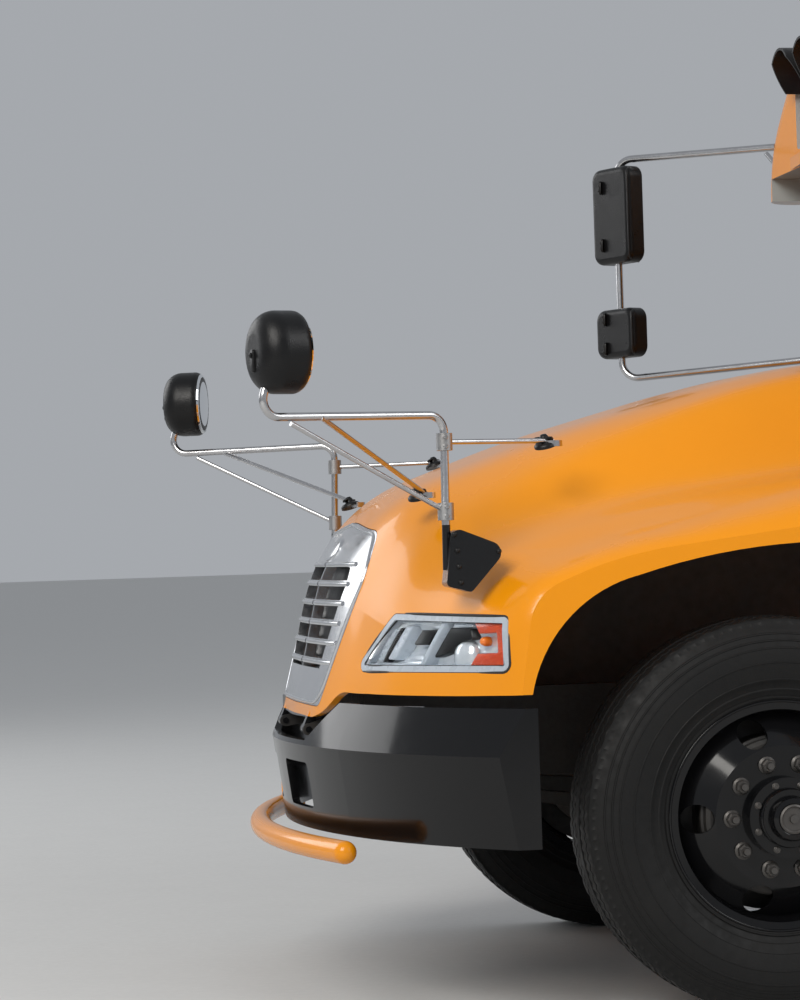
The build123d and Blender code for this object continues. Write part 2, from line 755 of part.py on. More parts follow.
# Entry steps: treads and risers between two side plates
step_count = 3
step_rise = (floor_top - door_sill_z) / step_count
step_deep = (body_half - wall - well_inner_y) / step_count
step_plate = 12
with BuildPart() as entry_steps:
    well_mid_x = (well_front_x + well_rear_x) / 2
    for x in (well_front_x - step_plate, well_rear_x):
        with BuildSketch(Plane.YZ.offset(x)):
            with BuildLine():
                outline = [(-well_inner_y, floor_top - 1), (-well_inner_y, door_sill_z + step_rise - 40)]
                outline += [(-body_half + wall + step_deep, door_sill_z - 30)]
                outline += [(-body_half + wall, door_sill_z - 30), (-body_half + wall, floor_top - 1)]
                Polyline(outline, close=True)
            make_face()
        extrude(amount=step_plate)
    for i in range(step_count):
        tread_z = door_sill_z + i * step_rise
        outer_y = body_half - wall - i * step_deep
        inner_y = outer_y - step_deep
        with Locations((well_mid_x, -(outer_y + inner_y) / 2, tread_z - step_plate / 2)):
            Box(well_front_x - well_rear_x, step_deep, step_plate)
        with Locations((well_mid_x, -inner_y - step_plate / 2, tread_z + step_rise / 2 - 1)):
            Box(well_front_x - well_rear_x, step_plate, step_rise - 2)
entry_steps.part.label = "entry_steps"
export_step(entry_steps.part, "parts/entry_steps.step")

# Side walls with window openings and rear wheel arches; the right one drops round the entry door
wall_rear_x = rear_wall_x + rear_round
window_xs = [window_start_x - (i + 0.5) * window_pitch for i in range(window_count)]
window_high = window_head - window_sill
driver_window_high = window_head - driver_window_sill
door_drop = 25
pin_off = 9


def window_holes(grow, ring):
    """Every side window's outline in X and Z, grown on all sides, as rings if ring is above 0."""
    with BuildSketch() as holes:
        for x in window_xs:
            with Locations((x, (window_sill + window_head) / 2)):
                RectangleRounded(window_wide + 2 * grow, window_high + 2 * grow, window_corner + grow)
                if ring:
                    RectangleRounded(
                        window_wide + 2 * grow - 2 * ring, window_high + 2 * grow - 2 * ring,
                        window_corner + grow - ring, mode=Mode.SUBTRACT,
                    )
    return holes.sketch


def driver_hole(grow, ring):
    """The driver's window outline in X and Z, grown on all sides, as a ring if ring is above 0."""
    wide = driver_window_wide + 2 * grow
    high = driver_window_high + 2 * grow
    with BuildSketch() as hole:
        with Locations((driver_window_x, (driver_window_sill + window_head) / 2)):
            RectangleRounded(wide, high, window_corner + grow)
            if ring:
                RectangleRounded(
                    wide - 2 * ring, high - 2 * ring, window_corner + grow - ring,
                    mode=Mode.SUBTRACT,
                )
    return hole.sketch


def rear_holes(grow, ring):
    """The two rear windows' outlines in Y and Z, as rings if ring is above 0."""
    wide = rear_window_wide + 2 * grow
    high = rear_window_high + 2 * grow
    with BuildSketch() as holes:
        for side in (-1, 1):
            with Locations((side * rear_window_y, rear_window_z)):
                RectangleRounded(wide, high, window_corner + grow)
                if ring:
                    RectangleRounded(
                        wide - 2 * ring, high - 2 * ring, window_corner + grow - ring,
                        mode=Mode.SUBTRACT,
                    )
    return holes.sketch


for side, name in ((1, "left_wall"), (-1, "right_wall")):
    with BuildPart() as side_wall:
        with Locations(
            ((wall_front_x + wall_rear_x) / 2, side * (body_half - wall / 2), (skirt_z + eave_z) / 2)
        ):
            Box(wall_front_x - wall_rear_x, wall, eave_z - skirt_z)
        if side < 0:
            with Locations((
                (wall_front_x + door_rear_x - 60) / 2, side * (body_half - wall / 2),
                (door_sill_z - door_drop + skirt_z) / 2,
            )):
                Box(wall_front_x - door_rear_x + 60, wall, skirt_z - door_sill_z + door_drop + 2)
        with BuildSketch(Plane.XZ.offset(-side * body_half)):
            add(window_holes(0, 0))
            if side > 0:
                add(driver_hole(0, 0))
        extrude(amount=2 * wall, both=True, mode=Mode.SUBTRACT)
        with Locations(Location((rear_axle_x, side * body_half, axle_z), (90, 0, 0))):
            Cylinder(rear_arch_r, 3 * wall, mode=Mode.SUBTRACT)
        if side < 0:
            with Locations((
                (door_front_x + door_rear_x) / 2, -body_half, (door_sill_z + door_head_z) / 2
            )):
                Box(
                    door_front_x - door_rear_x, 3 * wall, door_head_z - door_sill_z,
                    mode=Mode.SUBTRACT,
                )
            # Fixed knuckles of the entry leaves' hinges
            for hinge_x, way in ((door_front_x - door_gap / 2, 1), (door_rear_x + door_gap / 2, -1)):
                for z in (door_sill_z + 120, (door_sill_z + door_head_z) / 2, door_head_z - 120):
                    with Locations((hinge_x, -body_half - pin_off, z)):
                        Cylinder(hinge_pin_r, 90)
                    with Locations((hinge_x + way * 16, -body_half - 2.5, z)):
                        Box(26, 5, 90)
    side_wall.part.label = name
    export_step(side_wall.part, f"parts/{name}.step")

rail_z_table = [700, 985, 1310, 1660]
rail_front_x_side = door_rear_x - 110
with BuildPart() as rub_rails:
    for side in (-1, 1):
        for z in rail_z_table:
            with BuildSketch(Plane.YZ.offset(wall_rear_x)):
                with BuildLine():
                    FilletPolyline(
                        (side * body_half, z - 38), (side * (body_half + 18), z - 24),
                        (side * (body_half + 18), z + 24), (side * body_half, z + 38), radius=8,
                    )
                    Line((side * body_half, z + 38), (side * body_half, z - 38))
                make_face()
            extrude(amount=rail_front_x_side - wall_rear_x)
        with Locations(Location((rear_axle_x, side * (body_half + 9), axle_z), (90, 0, 0))):
            Cylinder(rear_arch_r, 30, mode=Mode.SUBTRACT)
rub_rails.part.label = "rub_rails"
export_step(rub_rails.part, "parts/rub_rails.step")

# Rear wall, rounded at both corners, with its door opening and two windows
with BuildPart() as rear_wall:
    with BuildSketch(Plane.XY.offset(skirt_z)):
        with Locations((rear_wall_x + rear_round, 0)):
            RectangleRounded(2 * rear_round, 2 * body_half, rear_round - 0.5)
            RectangleRounded(
                2 * (rear_round - wall), 2 * (body_half - wall), rear_round - wall - 0.5,
                mode=Mode.SUBTRACT,
            )
        with Locations((rear_wall_x + 2 * rear_round, 0)):
            Rectangle(2 * rear_round, 3 * body_half, mode=Mode.SUBTRACT)
    extrude(amount=eave_z - skirt_z)
    with Locations((rear_wall_x, 0, (rear_door_sill + rear_door_head) / 2)):
        Box(3 * wall, 2 * rear_door_half, rear_door_head - rear_door_sill, mode=Mode.SUBTRACT)
    with BuildSketch(Plane.YZ.offset(rear_wall_x)):
        add(rear_holes(0, 0))
    extrude(amount=2 * wall, both=True, mode=Mode.SUBTRACT)
    for z in (rear_door_sill + 150, (rear_door_sill + rear_door_head) / 2, rear_door_head - 150):
        with Locations((rear_wall_x - pin_off, -rear_door_half + door_gap / 2, z)):
            Cylinder(hinge_pin_r, 90)
        with Locations((rear_wall_x - 2.5, -rear_door_half + door_gap / 2 - 16, z)):
            Box(5, 26, 90)
rear_wall.part.label = "rear_wall"
export_step(rear_wall.part, "parts/rear_wall.step")


def roof_section(inset):
    """Closed roof section, standing just below the eaves, as a sketch in its own plane."""
    half = body_half - inset
    corner = roof_corner_r - inset
    lean = atan2(corner_centre_y, eave_z - crown_centre_z)
    diagonal = (corner_centre_y + corner * sin(lean), eave_z + corner * cos(lean))
    middle = (
        corner_centre_y + corner * cos(radians(45) - lean / 2),
        eave_z + corner * sin(radians(45) - lean / 2),
    )
    with BuildSketch() as section:
        with BuildLine():
            Line((half, eave_z - 1), (half, eave_z))
            ThreePointArc((half, eave_z), middle, diagonal)
            ThreePointArc(diagonal, (0, crown_z - inset), (-diagonal[0], diagonal[1]))
            ThreePointArc((-diagonal[0], diagonal[1]), (-middle[0], middle[1]), (-half, eave_z))
            Line((-half, eave_z), (-half, eave_z - 1))
            Line((-half, eave_z - 1), (half, eave_z - 1))
        make_face()
    return section.sketch


def roof_block(inset, back_x, front_x, back_round, front_round):
    """Solid roof form above the eaves between two x, its end edges rounded where a radius is given."""
    with BuildPart() as block:
        with BuildSketch(Plane.YZ.offset(back_x)):
            add(roof_section(inset))
        extrude(amount=front_x - back_x)
        split(bisect_by=Plane.XY.offset(eave_z), keep=Keep.TOP)
        if back_round:
            fillet(block.edges().filter_by(GeomType.CIRCLE).group_by(Axis.X)[0], back_round)
        if front_round:
            fillet(block.edges().filter_by(GeomType.CIRCLE).group_by(Axis.X)[-1], front_round)
    return block.part


# Roof with raised rims round its two hatches
hatch_xs = [front_axle_x - 3900, front_axle_x - 7400]
hatch_half = 300
hatch_rim = 40
hatch_rim_top = crown_z + 20
roof_outer = roof_block(0, rear_wall_x, seam_x, rear_round, 0)
with BuildPart() as roof:
    add(roof_outer)
    for x in hatch_xs:
        with Locations((x, 0, hatch_rim_top - 50)):
            Box(2 * (hatch_half + hatch_rim), 2 * (hatch_half + hatch_rim), 100)
        with Locations((x - hatch_half - hatch_rim - 15, 0, crown_z - 5)):
            Box(30, 300, 60)
        for y in (-100, 100):
            with Locations(
                Location((x - hatch_half - hatch_rim - 24, y, hatch_rim_top + 27), (90, 0, 0))
            ):
                Cylinder(hinge_pin_r, 60)
            with Locations((x - hatch_half - hatch_rim - 24, y, hatch_rim_top + 14)):
                Box(12, 60, 20)
    add(
        roof_block(roof_skin, rear_wall_x + roof_skin, seam_x + 1, rear_round - roof_skin, 0),
        mode=Mode.SUBTRACT,
    )
    for x in hatch_xs:
        with Locations((x, 0, crown_z)):
            Box(2 * hatch_half, 2 * hatch_half, 400, mode=Mode.SUBTRACT)
roof.part.label = "roof"
export_step(roof.part, "parts/roof.step")

hatch_clear = 7
hatch_corner = 6
hatch_lid = 2 * (hatch_half + hatch_rim + hatch_clear + 6)
for name, x in zip(("hatch_front", "hatch_rear"), hatch_xs):
    with BuildPart() as hatch:
        with BuildSketch(Plane.XY.offset(hatch_rim_top - 14)):
            with Locations((x, 0)):
                RectangleRounded(hatch_lid, hatch_lid, 30)
        extrude(amount=44)
        fillet(hatch.faces().sort_by(Axis.Z)[-1].edges(), 14)
        with BuildSketch(Plane.XY.offset(hatch_rim_top - 15)):
            with Locations((x, 0)):
                RectangleRounded(hatch_lid - 12, hatch_lid - 12, hatch_corner)
        extrude(amount=15 + hatch_clear, mode=Mode.SUBTRACT)
        with Locations((x - hatch_lid / 2, 0, hatch_rim_top - 30 + hatch_clear)):
            Box(13, hatch_lid, 60, mode=Mode.SUBTRACT)
            with Locations((0, 0, 30)):
                Box(60, 340, 60, mode=Mode.SUBTRACT)
        with Locations((x - hatch_half - hatch_rim - 24, 0, hatch_rim_top + 27)):
            with Locations(Location((0, 0, 0), (90, 0, 0))):
                Cylinder(hinge_pin_r, 120)
        with Locations((x - hatch_half - hatch_rim + 6, 0, hatch_rim_top + 22)):
            Box(60, 120, 12)
    hatch.part.label = name
    export_step(hatch.part, f"parts/{name}.step")

# Front cap: rounded shell with an arched recess, a header over the glass and a brow
recess_back_x = cap_face_x - recess_depth
cap_outer = roof_block(0, seam_x, cap_face_x, 0, cap_round)
header_top = glass_top_z + 35
with BuildPart() as front_cap:
    add(cap_outer)
    with BuildPart(mode=Mode.PRIVATE) as cap_hollow:
        add(roof_block(roof_skin, seam_x - 1, recess_back_x - 30, 0, 0))
        split(bisect_by=Plane.XY.offset(header_top), keep=Keep.TOP)
    add(cap_hollow.part, mode=Mode.SUBTRACT)
    with Locations(((seam_x + cap_face_x) / 2, 0, glass_top_z + 5 - 100)):
        Box(400, 2 * glass_half, 200, mode=Mode.SUBTRACT)
    with BuildSketch(Plane.YZ.offset(recess_back_x)):
        with BuildLine():
            FilletPolyline(
                (-recess_half, recess_sill), (recess_half, recess_sill),
                (recess_half, recess_shoulder), (0, 2 * recess_crown - recess_shoulder),
                (-recess_half, recess_shoulder), radius=[20, 20, 90, 2600, 90], close=True,
            )
        make_face()
    extrude(amount=200, mode=Mode.SUBTRACT)
    with BuildSketch(Plane.XY.offset(brow_z)):
        with BuildLine():
            brow_half = 0.825 * body_half
            brow_end_x = cap_face_x - 14
            ThreePointArc(
                (brow_end_x, -brow_half), (cap_face_x + brow_lead, 0), (brow_end_x, brow_half)
            )
            Polyline(
                (brow_end_x, brow_half), (brow_end_x - 16, brow_half),
                (brow_end_x - 16, -brow_half), (brow_end_x, -brow_half),
            )
        make_face()
    extrude(amount=brow_thick)
front_cap.part.label = "front_cap"
export_step(front_cap.part, "parts/front_cap.step")

# Windshield: two curved panes between the posts, leaning with the cap
bar_half = 16
glass_edge = 2


def glass_plan(front_x, radius, deep):
    """Plan of a bowed band of glass of this depth behind its front arc."""
    half = glass_half - glass_edge
    side = front_x - bow_back(radius, half)
    with BuildSketch() as plan:
        with BuildLine():
            ThreePointArc((side, -half), (front_x, 0), (side, half))
            Line((side, half), (side - deep, half))
            ThreePointArc((side - deep, half), (front_x - deep, 0), (side - deep, -half))
            Line((side - deep, -half), (side, -half))
        make_face()
    return plan.sketch


def glass_band(shift, deep, low_z, high_z):
    """Leaning bowed band between the cowl and the cap: shift forward of the glass, this deep."""
    with BuildPart() as band:
        for z, x, radius in (
            (cowl_top, cowl_x - glass_set_back, cowl_bow_r - glass_set_back),
            (glass_top_z, glass_top_x, glass_top_bow_r),
        ):
            with BuildSketch(Plane.XY.offset(z)):
                add(glass_plan(x + shift, radius + shift, deep))
        loft(ruled=True)
        split(bisect_by=Plane.XY.offset(low_z), keep=Keep.TOP)
        split(bisect_by=Plane.XY.offset(high_z), keep=Keep.BOTTOM)
    return band.part


with BuildPart() as windshield:
    add(glass_band(0, glass_thick, cowl_top, glass_top_z))
    with Locations((glass_top_x, 0, cowl_top)):
        Box(800, 2 * bar_half, 1400, mode=Mode.SUBTRACT)
windshield.part.label = "windshield"
export_step(windshield.part, "parts/windshield.step")

# Cowl: bowed shell under the glass, its ledge, and the two corner posts
ledge_thick = 25
tunnel_half = 560
with BuildPart() as cowl:
    with BuildSketch(Plane.XY.offset(skirt_z)):
        add(cowl_plan(0, body_half, wall_front_x))
        add(cowl_plan(-wall, body_half - wall, wall_front_x - 1), mode=Mode.SUBTRACT)
    extrude(amount=cowl_top - skirt_z)
    with BuildSketch(Plane.XY.offset(cowl_top - ledge_thick)):
        add(cowl_plan(0, body_half, wall_front_x))
    extrude(amount=ledge_thick)
    with BuildSketch(Plane.XY.offset(cowl_top)):
        add(cowl_plan(0, body_half, wall_front_x))
        Rectangle(4 * total_length, 2 * glass_half, mode=Mode.SUBTRACT)
    extrude(amount=eave_z - cowl_top)
    with Locations((cowl_x - 200, 0, floor_top - floor_thick - 300)):
        Box(800, 2 * tunnel_half, 600, mode=Mode.SUBTRACT)
with BuildPart(mode=Mode.PRIVATE) as cowl_block:
    with BuildSketch(Plane.XY.offset(skirt_z)):
        add(cowl_plan(0, body_half, wall_front_x))
    extrude(amount=cowl_top - skirt_z)
cowl.part.label = "cowl"
export_step(cowl.part, "parts/cowl.step")

# Window frames: a ring and a middle bar in every opening, and the bar between the windshield panes
frame_gap = 1
sash_y = body_half - wall / 2
sash_mid_z = (window_sill + window_head) / 2
with BuildPart() as window_frames:
    for side in (-1, 1):
        with BuildSketch(Plane.XZ.offset(-side * sash_y)):
            add(window_holes(-frame_gap, sash_border))
            for x in window_xs:
                with Locations((x, sash_mid_z)):
                    Rectangle(window_wide - sash_border, sash_border)
            if side > 0:
                add(driver_hole(-frame_gap, sash_border))
                with Locations((driver_window_x, (driver_window_sill + window_head) / 2)):
                    Rectangle(sash_border, driver_window_high - sash_border)
        extrude(amount=sash_thick / 2, both=True)
    with BuildSketch(Plane.YZ.offset(rear_wall_x + wall / 2)):
        add(rear_holes(-frame_gap, sash_border))
    extrude(amount=sash_thick / 2, both=True)
    with BuildPart(mode=Mode.PRIVATE) as bar:
        add(glass_band(10, glass_thick + 20, cowl_top, glass_top_z))
        with Locations((glass_top_x, 0, cowl_top)):
            Box(800, 2 * (bar_half - 1), 1400, mode=Mode.INTERSECT)
    add(bar.part)
window_frames.part.label = "window_frames"
export_step(window_frames.part, "parts/window_frames.step")

pane_gap = frame_gap + sash_border + 1
with BuildPart() as window_glass:
    for side in (-1, 1):
        with BuildSketch(Plane.XZ.offset(-side * sash_y)):
            add(window_holes(-pane_gap, 0))
            for x in window_xs:
                with Locations((x, sash_mid_z)):
                    Rectangle(window_wide, sash_border + 2, mode=Mode.SUBTRACT)
            if side > 0:
                add(driver_hole(-pane_gap, 0))
                with Locations((driver_window_x, (driver_window_sill + window_head) / 2)):
                    Rectangle(sash_border + 2, driver_window_high, mode=Mode.SUBTRACT)
        extrude(amount=pane_thick / 2, both=True)
    with BuildSketch(Plane.YZ.offset(rear_wall_x + wall / 2)):
        add(rear_holes(-pane_gap, 0))
    extrude(amount=pane_thick / 2, both=True)
window_glass.part.label = "window_glass"
export_step(window_glass.part, "parts/window_glass.step")

# Entry door: two leaves hinged at the jambs that swing outward
leaf_wide = (door_front_x - door_rear_x) / 2 - 1.5 * door_gap
leaf_low = door_sill_z + door_gap
leaf_high = door_head_z - door_gap
leaf_border = 70
leaf_mid_z = 0.56 * leaf_low + 0.44 * leaf_high
knuckle_pitch = 95
for name, hinge_x, way in (
    ("entry_door_front", door_front_x - door_gap / 2, -1),
    ("entry_door_rear", door_rear_x + door_gap / 2, 1),
):
    with BuildPart() as leaf:
        leaf_x = hinge_x + way * (door_gap + leaf_wide) / 2
        with Locations((leaf_x, -body_half + leaf_thick / 2, (leaf_low + leaf_high) / 2)):
            Box(leaf_wide, leaf_thick, leaf_high - leaf_low)
        for low, high in (
            (leaf_low + leaf_border, leaf_mid_z - leaf_border / 2),
            (leaf_mid_z + leaf_border / 2, leaf_high - leaf_border),
        ):
            with BuildSketch(Plane.XZ.offset(body_half - leaf_thick / 2)):
                with Locations((leaf_x, (low + high) / 2)):
                    RectangleRounded(leaf_wide - 2 * leaf_border, high - low, 40)
            extrude(amount=leaf_thick, both=True, mode=Mode.SUBTRACT)
            with BuildSketch(Plane.XZ.offset(body_half - leaf_thick / 2)):
                with Locations((leaf_x, (low + high) / 2)):
                    RectangleRounded(leaf_wide - 2 * leaf_border - 2, high - low - 2, 39)
            extrude(amount=pane_thick / 2, both=True)
        # Moving knuckles, one above each fixed one
        for z in (
            door_sill_z + 120 + knuckle_pitch, (door_sill_z + door_head_z) / 2 + knuckle_pitch,
            door_head_z - 120 - knuckle_pitch,
        ):
            with Locations((hinge_x, -body_half - pin_off, z)):
                Cylinder(hinge_pin_r, 90)
            with Locations((hinge_x + way * 16, -body_half - 2.5, z)):
                Box(26, 5, 90)
    leaf.part.label = name
    export_step(leaf.part, f"parts/{name}.step")

# Rear emergency door, hinged at its right edge
with BuildPart() as rear_door:
    door_wide = 2 * (rear_door_half - door_gap)
    low = rear_door_sill + door_gap
    high = rear_door_head - door_gap
    with Locations((rear_wall_x + leaf_thick / 2, 0, (low + high) / 2)):
        Box(leaf_thick, door_wide, high - low)
    for pane_low, pane_high in ((low + 90, low + 540), (low + 640, high - 90)):
        with BuildSketch(Plane.YZ.offset(rear_wall_x + leaf_thick / 2)):
            with Locations((0, (pane_low + pane_high) / 2)):
                RectangleRounded(door_wide - 180, pane_high - pane_low, 50)
        extrude(amount=leaf_thick, both=True, mode=Mode.SUBTRACT)
        with BuildSketch(Plane.YZ.offset(rear_wall_x + leaf_thick / 2)):
            with Locations((0, (pane_low + pane_high) / 2)):
                RectangleRounded(door_wide - 182, pane_high - pane_low - 2, 49)
        extrude(amount=pane_thick / 2, both=True)
    for z in (
        rear_door_sill + 150 + knuckle_pitch, (rear_door_sill + rear_door_head) / 2 + knuckle_pitch,
        rear_door_head - 150 - knuckle_pitch,
    ):
        with Locations((rear_wall_x - pin_off, -rear_door_half + door_gap / 2, z)):
            Cylinder(hinge_pin_r, 90)
        with Locations((rear_wall_x - 2.5, -rear_door_half + door_gap / 2 + 16, z)):
            Box(5, 26, 90)
    with Locations((rear_wall_x - 20, rear_door_half - 90, (low + high) / 2 - 80)):
        Box(40, 20, 30)
        with Locations((-20, 0, 0)):
            Box(14, 26, 200)
rear_door.part.label = "rear_door"
export_step(rear_door.part, "parts/rear_door.step")

# Bench seats: rounded cushions and leaning backs, on a frame of legs
bench_half_wide = 495
bench_y = 650
cushion_z = 1440
with BuildPart() as seats:
    for side in (-1, 1):
        with BuildSketch(Plane.XZ.offset(-side * (bench_y - bench_half_wide))):
            for x in window_xs:
                with Locations((x + 100, cushion_z)):
                    RectangleRounded(350, 120, 45)
                with Locations(Location((x - 175, cushion_z + 300, 0), (0, 0, 8))):
                    RectangleRounded(80, 660, 38)
        extrude(amount=-side * 2 * bench_half_wide)
seats.part.label = "seats"
export_step(seats.part, "parts/seats.step")

leg_wide = 40
with BuildPart() as seat_frames:
    for side in (-1, 1):
        for x in window_xs:
            low = floor_top
            for y in (bench_y - bench_half_wide + 80, bench_y + bench_half_wide - 60):
                if abs(x - rear_axle_x) < tub_half + 250 and y > tub_inner_y - leg_wide:
                    low = tub_top
                with BuildSketch(Plane.XZ.offset(-side * y)):
                    with Locations((x + 60, (low + cushion_z - 60) / 2)):
                        Rectangle(330, cushion_z - 60 - low)
                        Rectangle(330 - 70, cushion_z - 60 - low - 70, mode=Mode.SUBTRACT)
                extrude(amount=leg_wide / 2, both=True)
seat_frames.part.label = "seat_frames"
export_step(seat_frames.part, "parts/seat_frames.step")

# Driver's station: seat on its pedestal, dash and steering wheel
driver_x = front_axle_x - 1560
driver_y = 640
dash_top = 1800
with BuildPart() as driver_station:
    with BuildSketch(Plane.XZ.offset(-driver_y)):
        with Locations((driver_x, 1390)):
            RectangleRounded(460, 120, 45)
        with Locations(Location((driver_x - 245, 1390 + 330, 0), (0, 0, 8))):
            RectangleRounded(90, 700, 42)
    extrude(amount=240, both=True)
    with Locations((driver_x - 10, driver_y, (floor_top + 1330) / 2)):
        Box(260, 260, 1330 - floor_top)
    # Dash under the ledge of the cowl
    with BuildSketch(Plane.XZ.offset(-1100)):
        with BuildLine():
            FilletPolyline(
                (wall_front_x - 110, 1480), (wall_front_x + 10, 1430), (wall_front_x + 10, dash_top),
                (wall_front_x - 60, dash_top), (wall_front_x - 160, 1700),
                radius=[20, 10, 10, 40, 20], close=True,
            )
        make_face()
    extrude(amount=1400)
    steer_plane = Plane(
        origin=(driver_x + 350, driver_y, 1700), x_dir=(0, 1, 0), z_dir=(-0.6, 0, 0.8)
    )
    with Locations(Location(steer_plane)):
        Torus(215, 15)
        Cylinder(62, 30)
        Box(420, 30, 14)
        with Locations((0, -105, 0)):
            Box(30, 210, 14)
        with Locations((0, 0, -125)):
            Cylinder(28, 250)
driver_station.part.label = "driver_station"
export_step(driver_station.part, "parts/driver_station.step")

# Warning lamps in the cap's recess and on the back, each under its own visor, and the tail lamps
lamp_r = 88
lamp_deep = 30
visor_r = 106
visor_thick = 8
visor_long = 144
visor_drop = 30
tail_lamp_r = 85
tail_lamp_y = 860
tail_lamp_zs = (1250, 1480)
lamp_table = [
    # y at the front, y at the back, red
    (660, 800, True), (430, 570, False),
]
front_lamp_z = 2745
rear_lamp_z = 2560
marker_pitch = 150
rear_visor_long = 120


def visor_outline(side_y, z):
    """Upper part of a ring over a lamp, in Y and Z."""
    with BuildSketch() as outline:
        with Locations((side_y, z)):
            Circle(visor_r)
            Circle(visor_r - visor_thick, mode=Mode.SUBTRACT)
            with Locations((0, -visor_r - visor_drop)):
                Rectangle(2 * visor_r, 2 * visor_r, mode=Mode.SUBTRACT)
    return outline.sketch


with BuildPart() as lamp_visors:
    for side in (-1, 1):
        for y, back_y, red in lamp_table:
            with BuildSketch(Plane.YZ.offset(recess_back_x)):
                add(visor_outline(side * y, front_lamp_z))
            extrude(amount=visor_long)
            with BuildSketch(Plane.YZ.offset(rear_wall_x)):
                add(visor_outline(side * back_y, rear_lamp_z))
            extrude(amount=-rear_visor_long)
    # Slant the mouths back from the top to the bottom
    for x, z, way in (
        (recess_back_x + visor_long, front_lamp_z, 1), (rear_wall_x - rear_visor_long, rear_lamp_z, -1)
    ):
        with BuildSketch(Plane.XZ.offset(-body_half)):
            with BuildLine():
                Polyline(
                    (x, z + visor_r - 40), (x + way, z - visor_r), (x - way * 90, z - visor_r),
                    close=True,
                )
            make_face()
        extrude(amount=2 * body_half, mode=Mode.SUBTRACT)
lamp_visors.part.label = "lamp_visors"
export_step(lamp_visors.part, "parts/lamp_visors.step")


def dome(place, radius, side_high, rise):
    """A disc with a domed face, standing on the XY plane of this location."""
    dome_r = (radius**2 + rise**2) / (2 * rise)
    with BuildPart() as disc:
        Cylinder(radius, side_high + rise, align=(Align.CENTER, Align.CENTER, Align.MIN))
        with Locations((0, 0, side_high + rise - dome_r)):
            Sphere(dome_r, mode=Mode.INTERSECT)
    return place * disc.part


for name, wanted in (("red_lamps", True), ("amber_lamps", False)):
    with BuildPart() as lamps:
        for side in (-1, 1):
            for y, back_y, red in lamp_table:
                if red == wanted:
                    place = Location((recess_back_x, side * y, front_lamp_z), (0, 90, 0))
                    add(dome(place, lamp_r, lamp_deep / 2, lamp_deep / 2))
                    place = Location((rear_wall_x, side * back_y, rear_lamp_z), (0, -90, 0))
                    add(dome(place, lamp_r, lamp_deep / 2, lamp_deep / 2))
            if wanted:
                for z in tail_lamp_zs:
                    place = Location((rear_wall_x, side * tail_lamp_y, z), (0, -90, 0))
                    add(dome(place, tail_lamp_r, lamp_deep / 2, lamp_deep / 2))
        if not wanted:
            for i in (-1, 0, 1):
                with BuildSketch(Plane.XZ.offset(-i * marker_pitch)):
                    with Locations((cap_face_x - 85, crown_z + 2)):
                        RectangleRounded(70, 50, 18)
                extrude(amount=30, both=True)
            add(front_cap.part, mode=Mode.SUBTRACT)
    lamps.part.label = name
    export_step(lamps.part, f"parts/{name}.step")

# Rear bumper: a channel that turns the corners, on two brackets
rear_bumper_low = 520
rear_bumper_high = 760
bumper_plate = 10
bumper_deep = 130
with BuildPart() as rear_bumper:
    with BuildSketch(Plane.XY.offset(rear_bumper_low)):
        with Locations((tail_x + bumper_deep, 0)):
            RectangleRounded(2 * bumper_deep, 2 * body_half, 90)
            RectangleRounded(
                2 * (bumper_deep - bumper_plate), 2 * (body_half - bumper_plate), 90 - bumper_plate,
                mode=Mode.SUBTRACT,
            )
        with Locations((tail_x + 2 * bumper_deep, 0)):
            Rectangle(2 * bumper_deep, 3 * body_half, mode=Mode.SUBTRACT)
    extrude(amount=rear_bumper_high - rear_bumper_low)
    # Arms under the rails
    arm_front_x = rail_rear_x + 250
    for side in (-1, 1):
        with Locations((
            (tail_x + 5 + arm_front_x) / 2, side * (rail_half - rail_flange / 2), rail_bottom - 20
        )):
            Box(arm_front_x - tail_x - 5, rail_flange - 20, 40)
rear_bumper.part.label = "rear_bumper"
export_step(rear_bumper.part, "parts/rear_bumper.step")

# Vent dome and aerials, standing on the curved roof
vent_x = front_axle_x - 1168
vent_r = 125
roof_vent = dome(Location((vent_x, 0, crown_z - 12)), vent_r, 32, 43)
with BuildPart() as aerials:
    for x, y, z, base_r, whip in (
        (front_axle_x - 1294, 300, crown_z - 40, 20, 380), (front_axle_x - 890, 0, crown_z - 10, 22, 0)
    ):
        with Locations((x, y, z)):
            Cylinder(base_r, 52, align=(Align.CENTER, Align.CENTER, Align.MIN))
            if whip:
                Cylinder(4, whip, align=(Align.CENTER, Align.CENTER, Align.MIN))
roof_vent = roof_vent + aerials.part - roof_outer
roof_vent.label = "roof_vent"
export_step(roof_vent, "parts/roof_vent.step")

# Fuel tank outside the right rail, silencer and pipe outside the left one
tank_x = front_axle_x - 3650
tank_long = 1300
tank_y = 800
tank_wide = 560
tank_low = 490
tank_high = 890
strap_half = 450
with BuildPart() as fuel_tank:
    with BuildSketch(Plane.YZ.offset(tank_x - tank_long / 2)):
        with Locations((-tank_y, (tank_low + tank_high) / 2)):
            RectangleRounded(tank_wide, tank_high - tank_low, 60)
    extrude(amount=tank_long)
    for x in (tank_x - strap_half, tank_x + strap_half):
        with Locations((x, -(rail_half + tank_y - tank_wide / 2) / 2, 735)):
            Box(80, tank_y - tank_wide / 2 - rail_half, 240)
fuel_tank.part.label = "fuel_tank"
export_step(fuel_tank.part, "parts/fuel_tank.step")

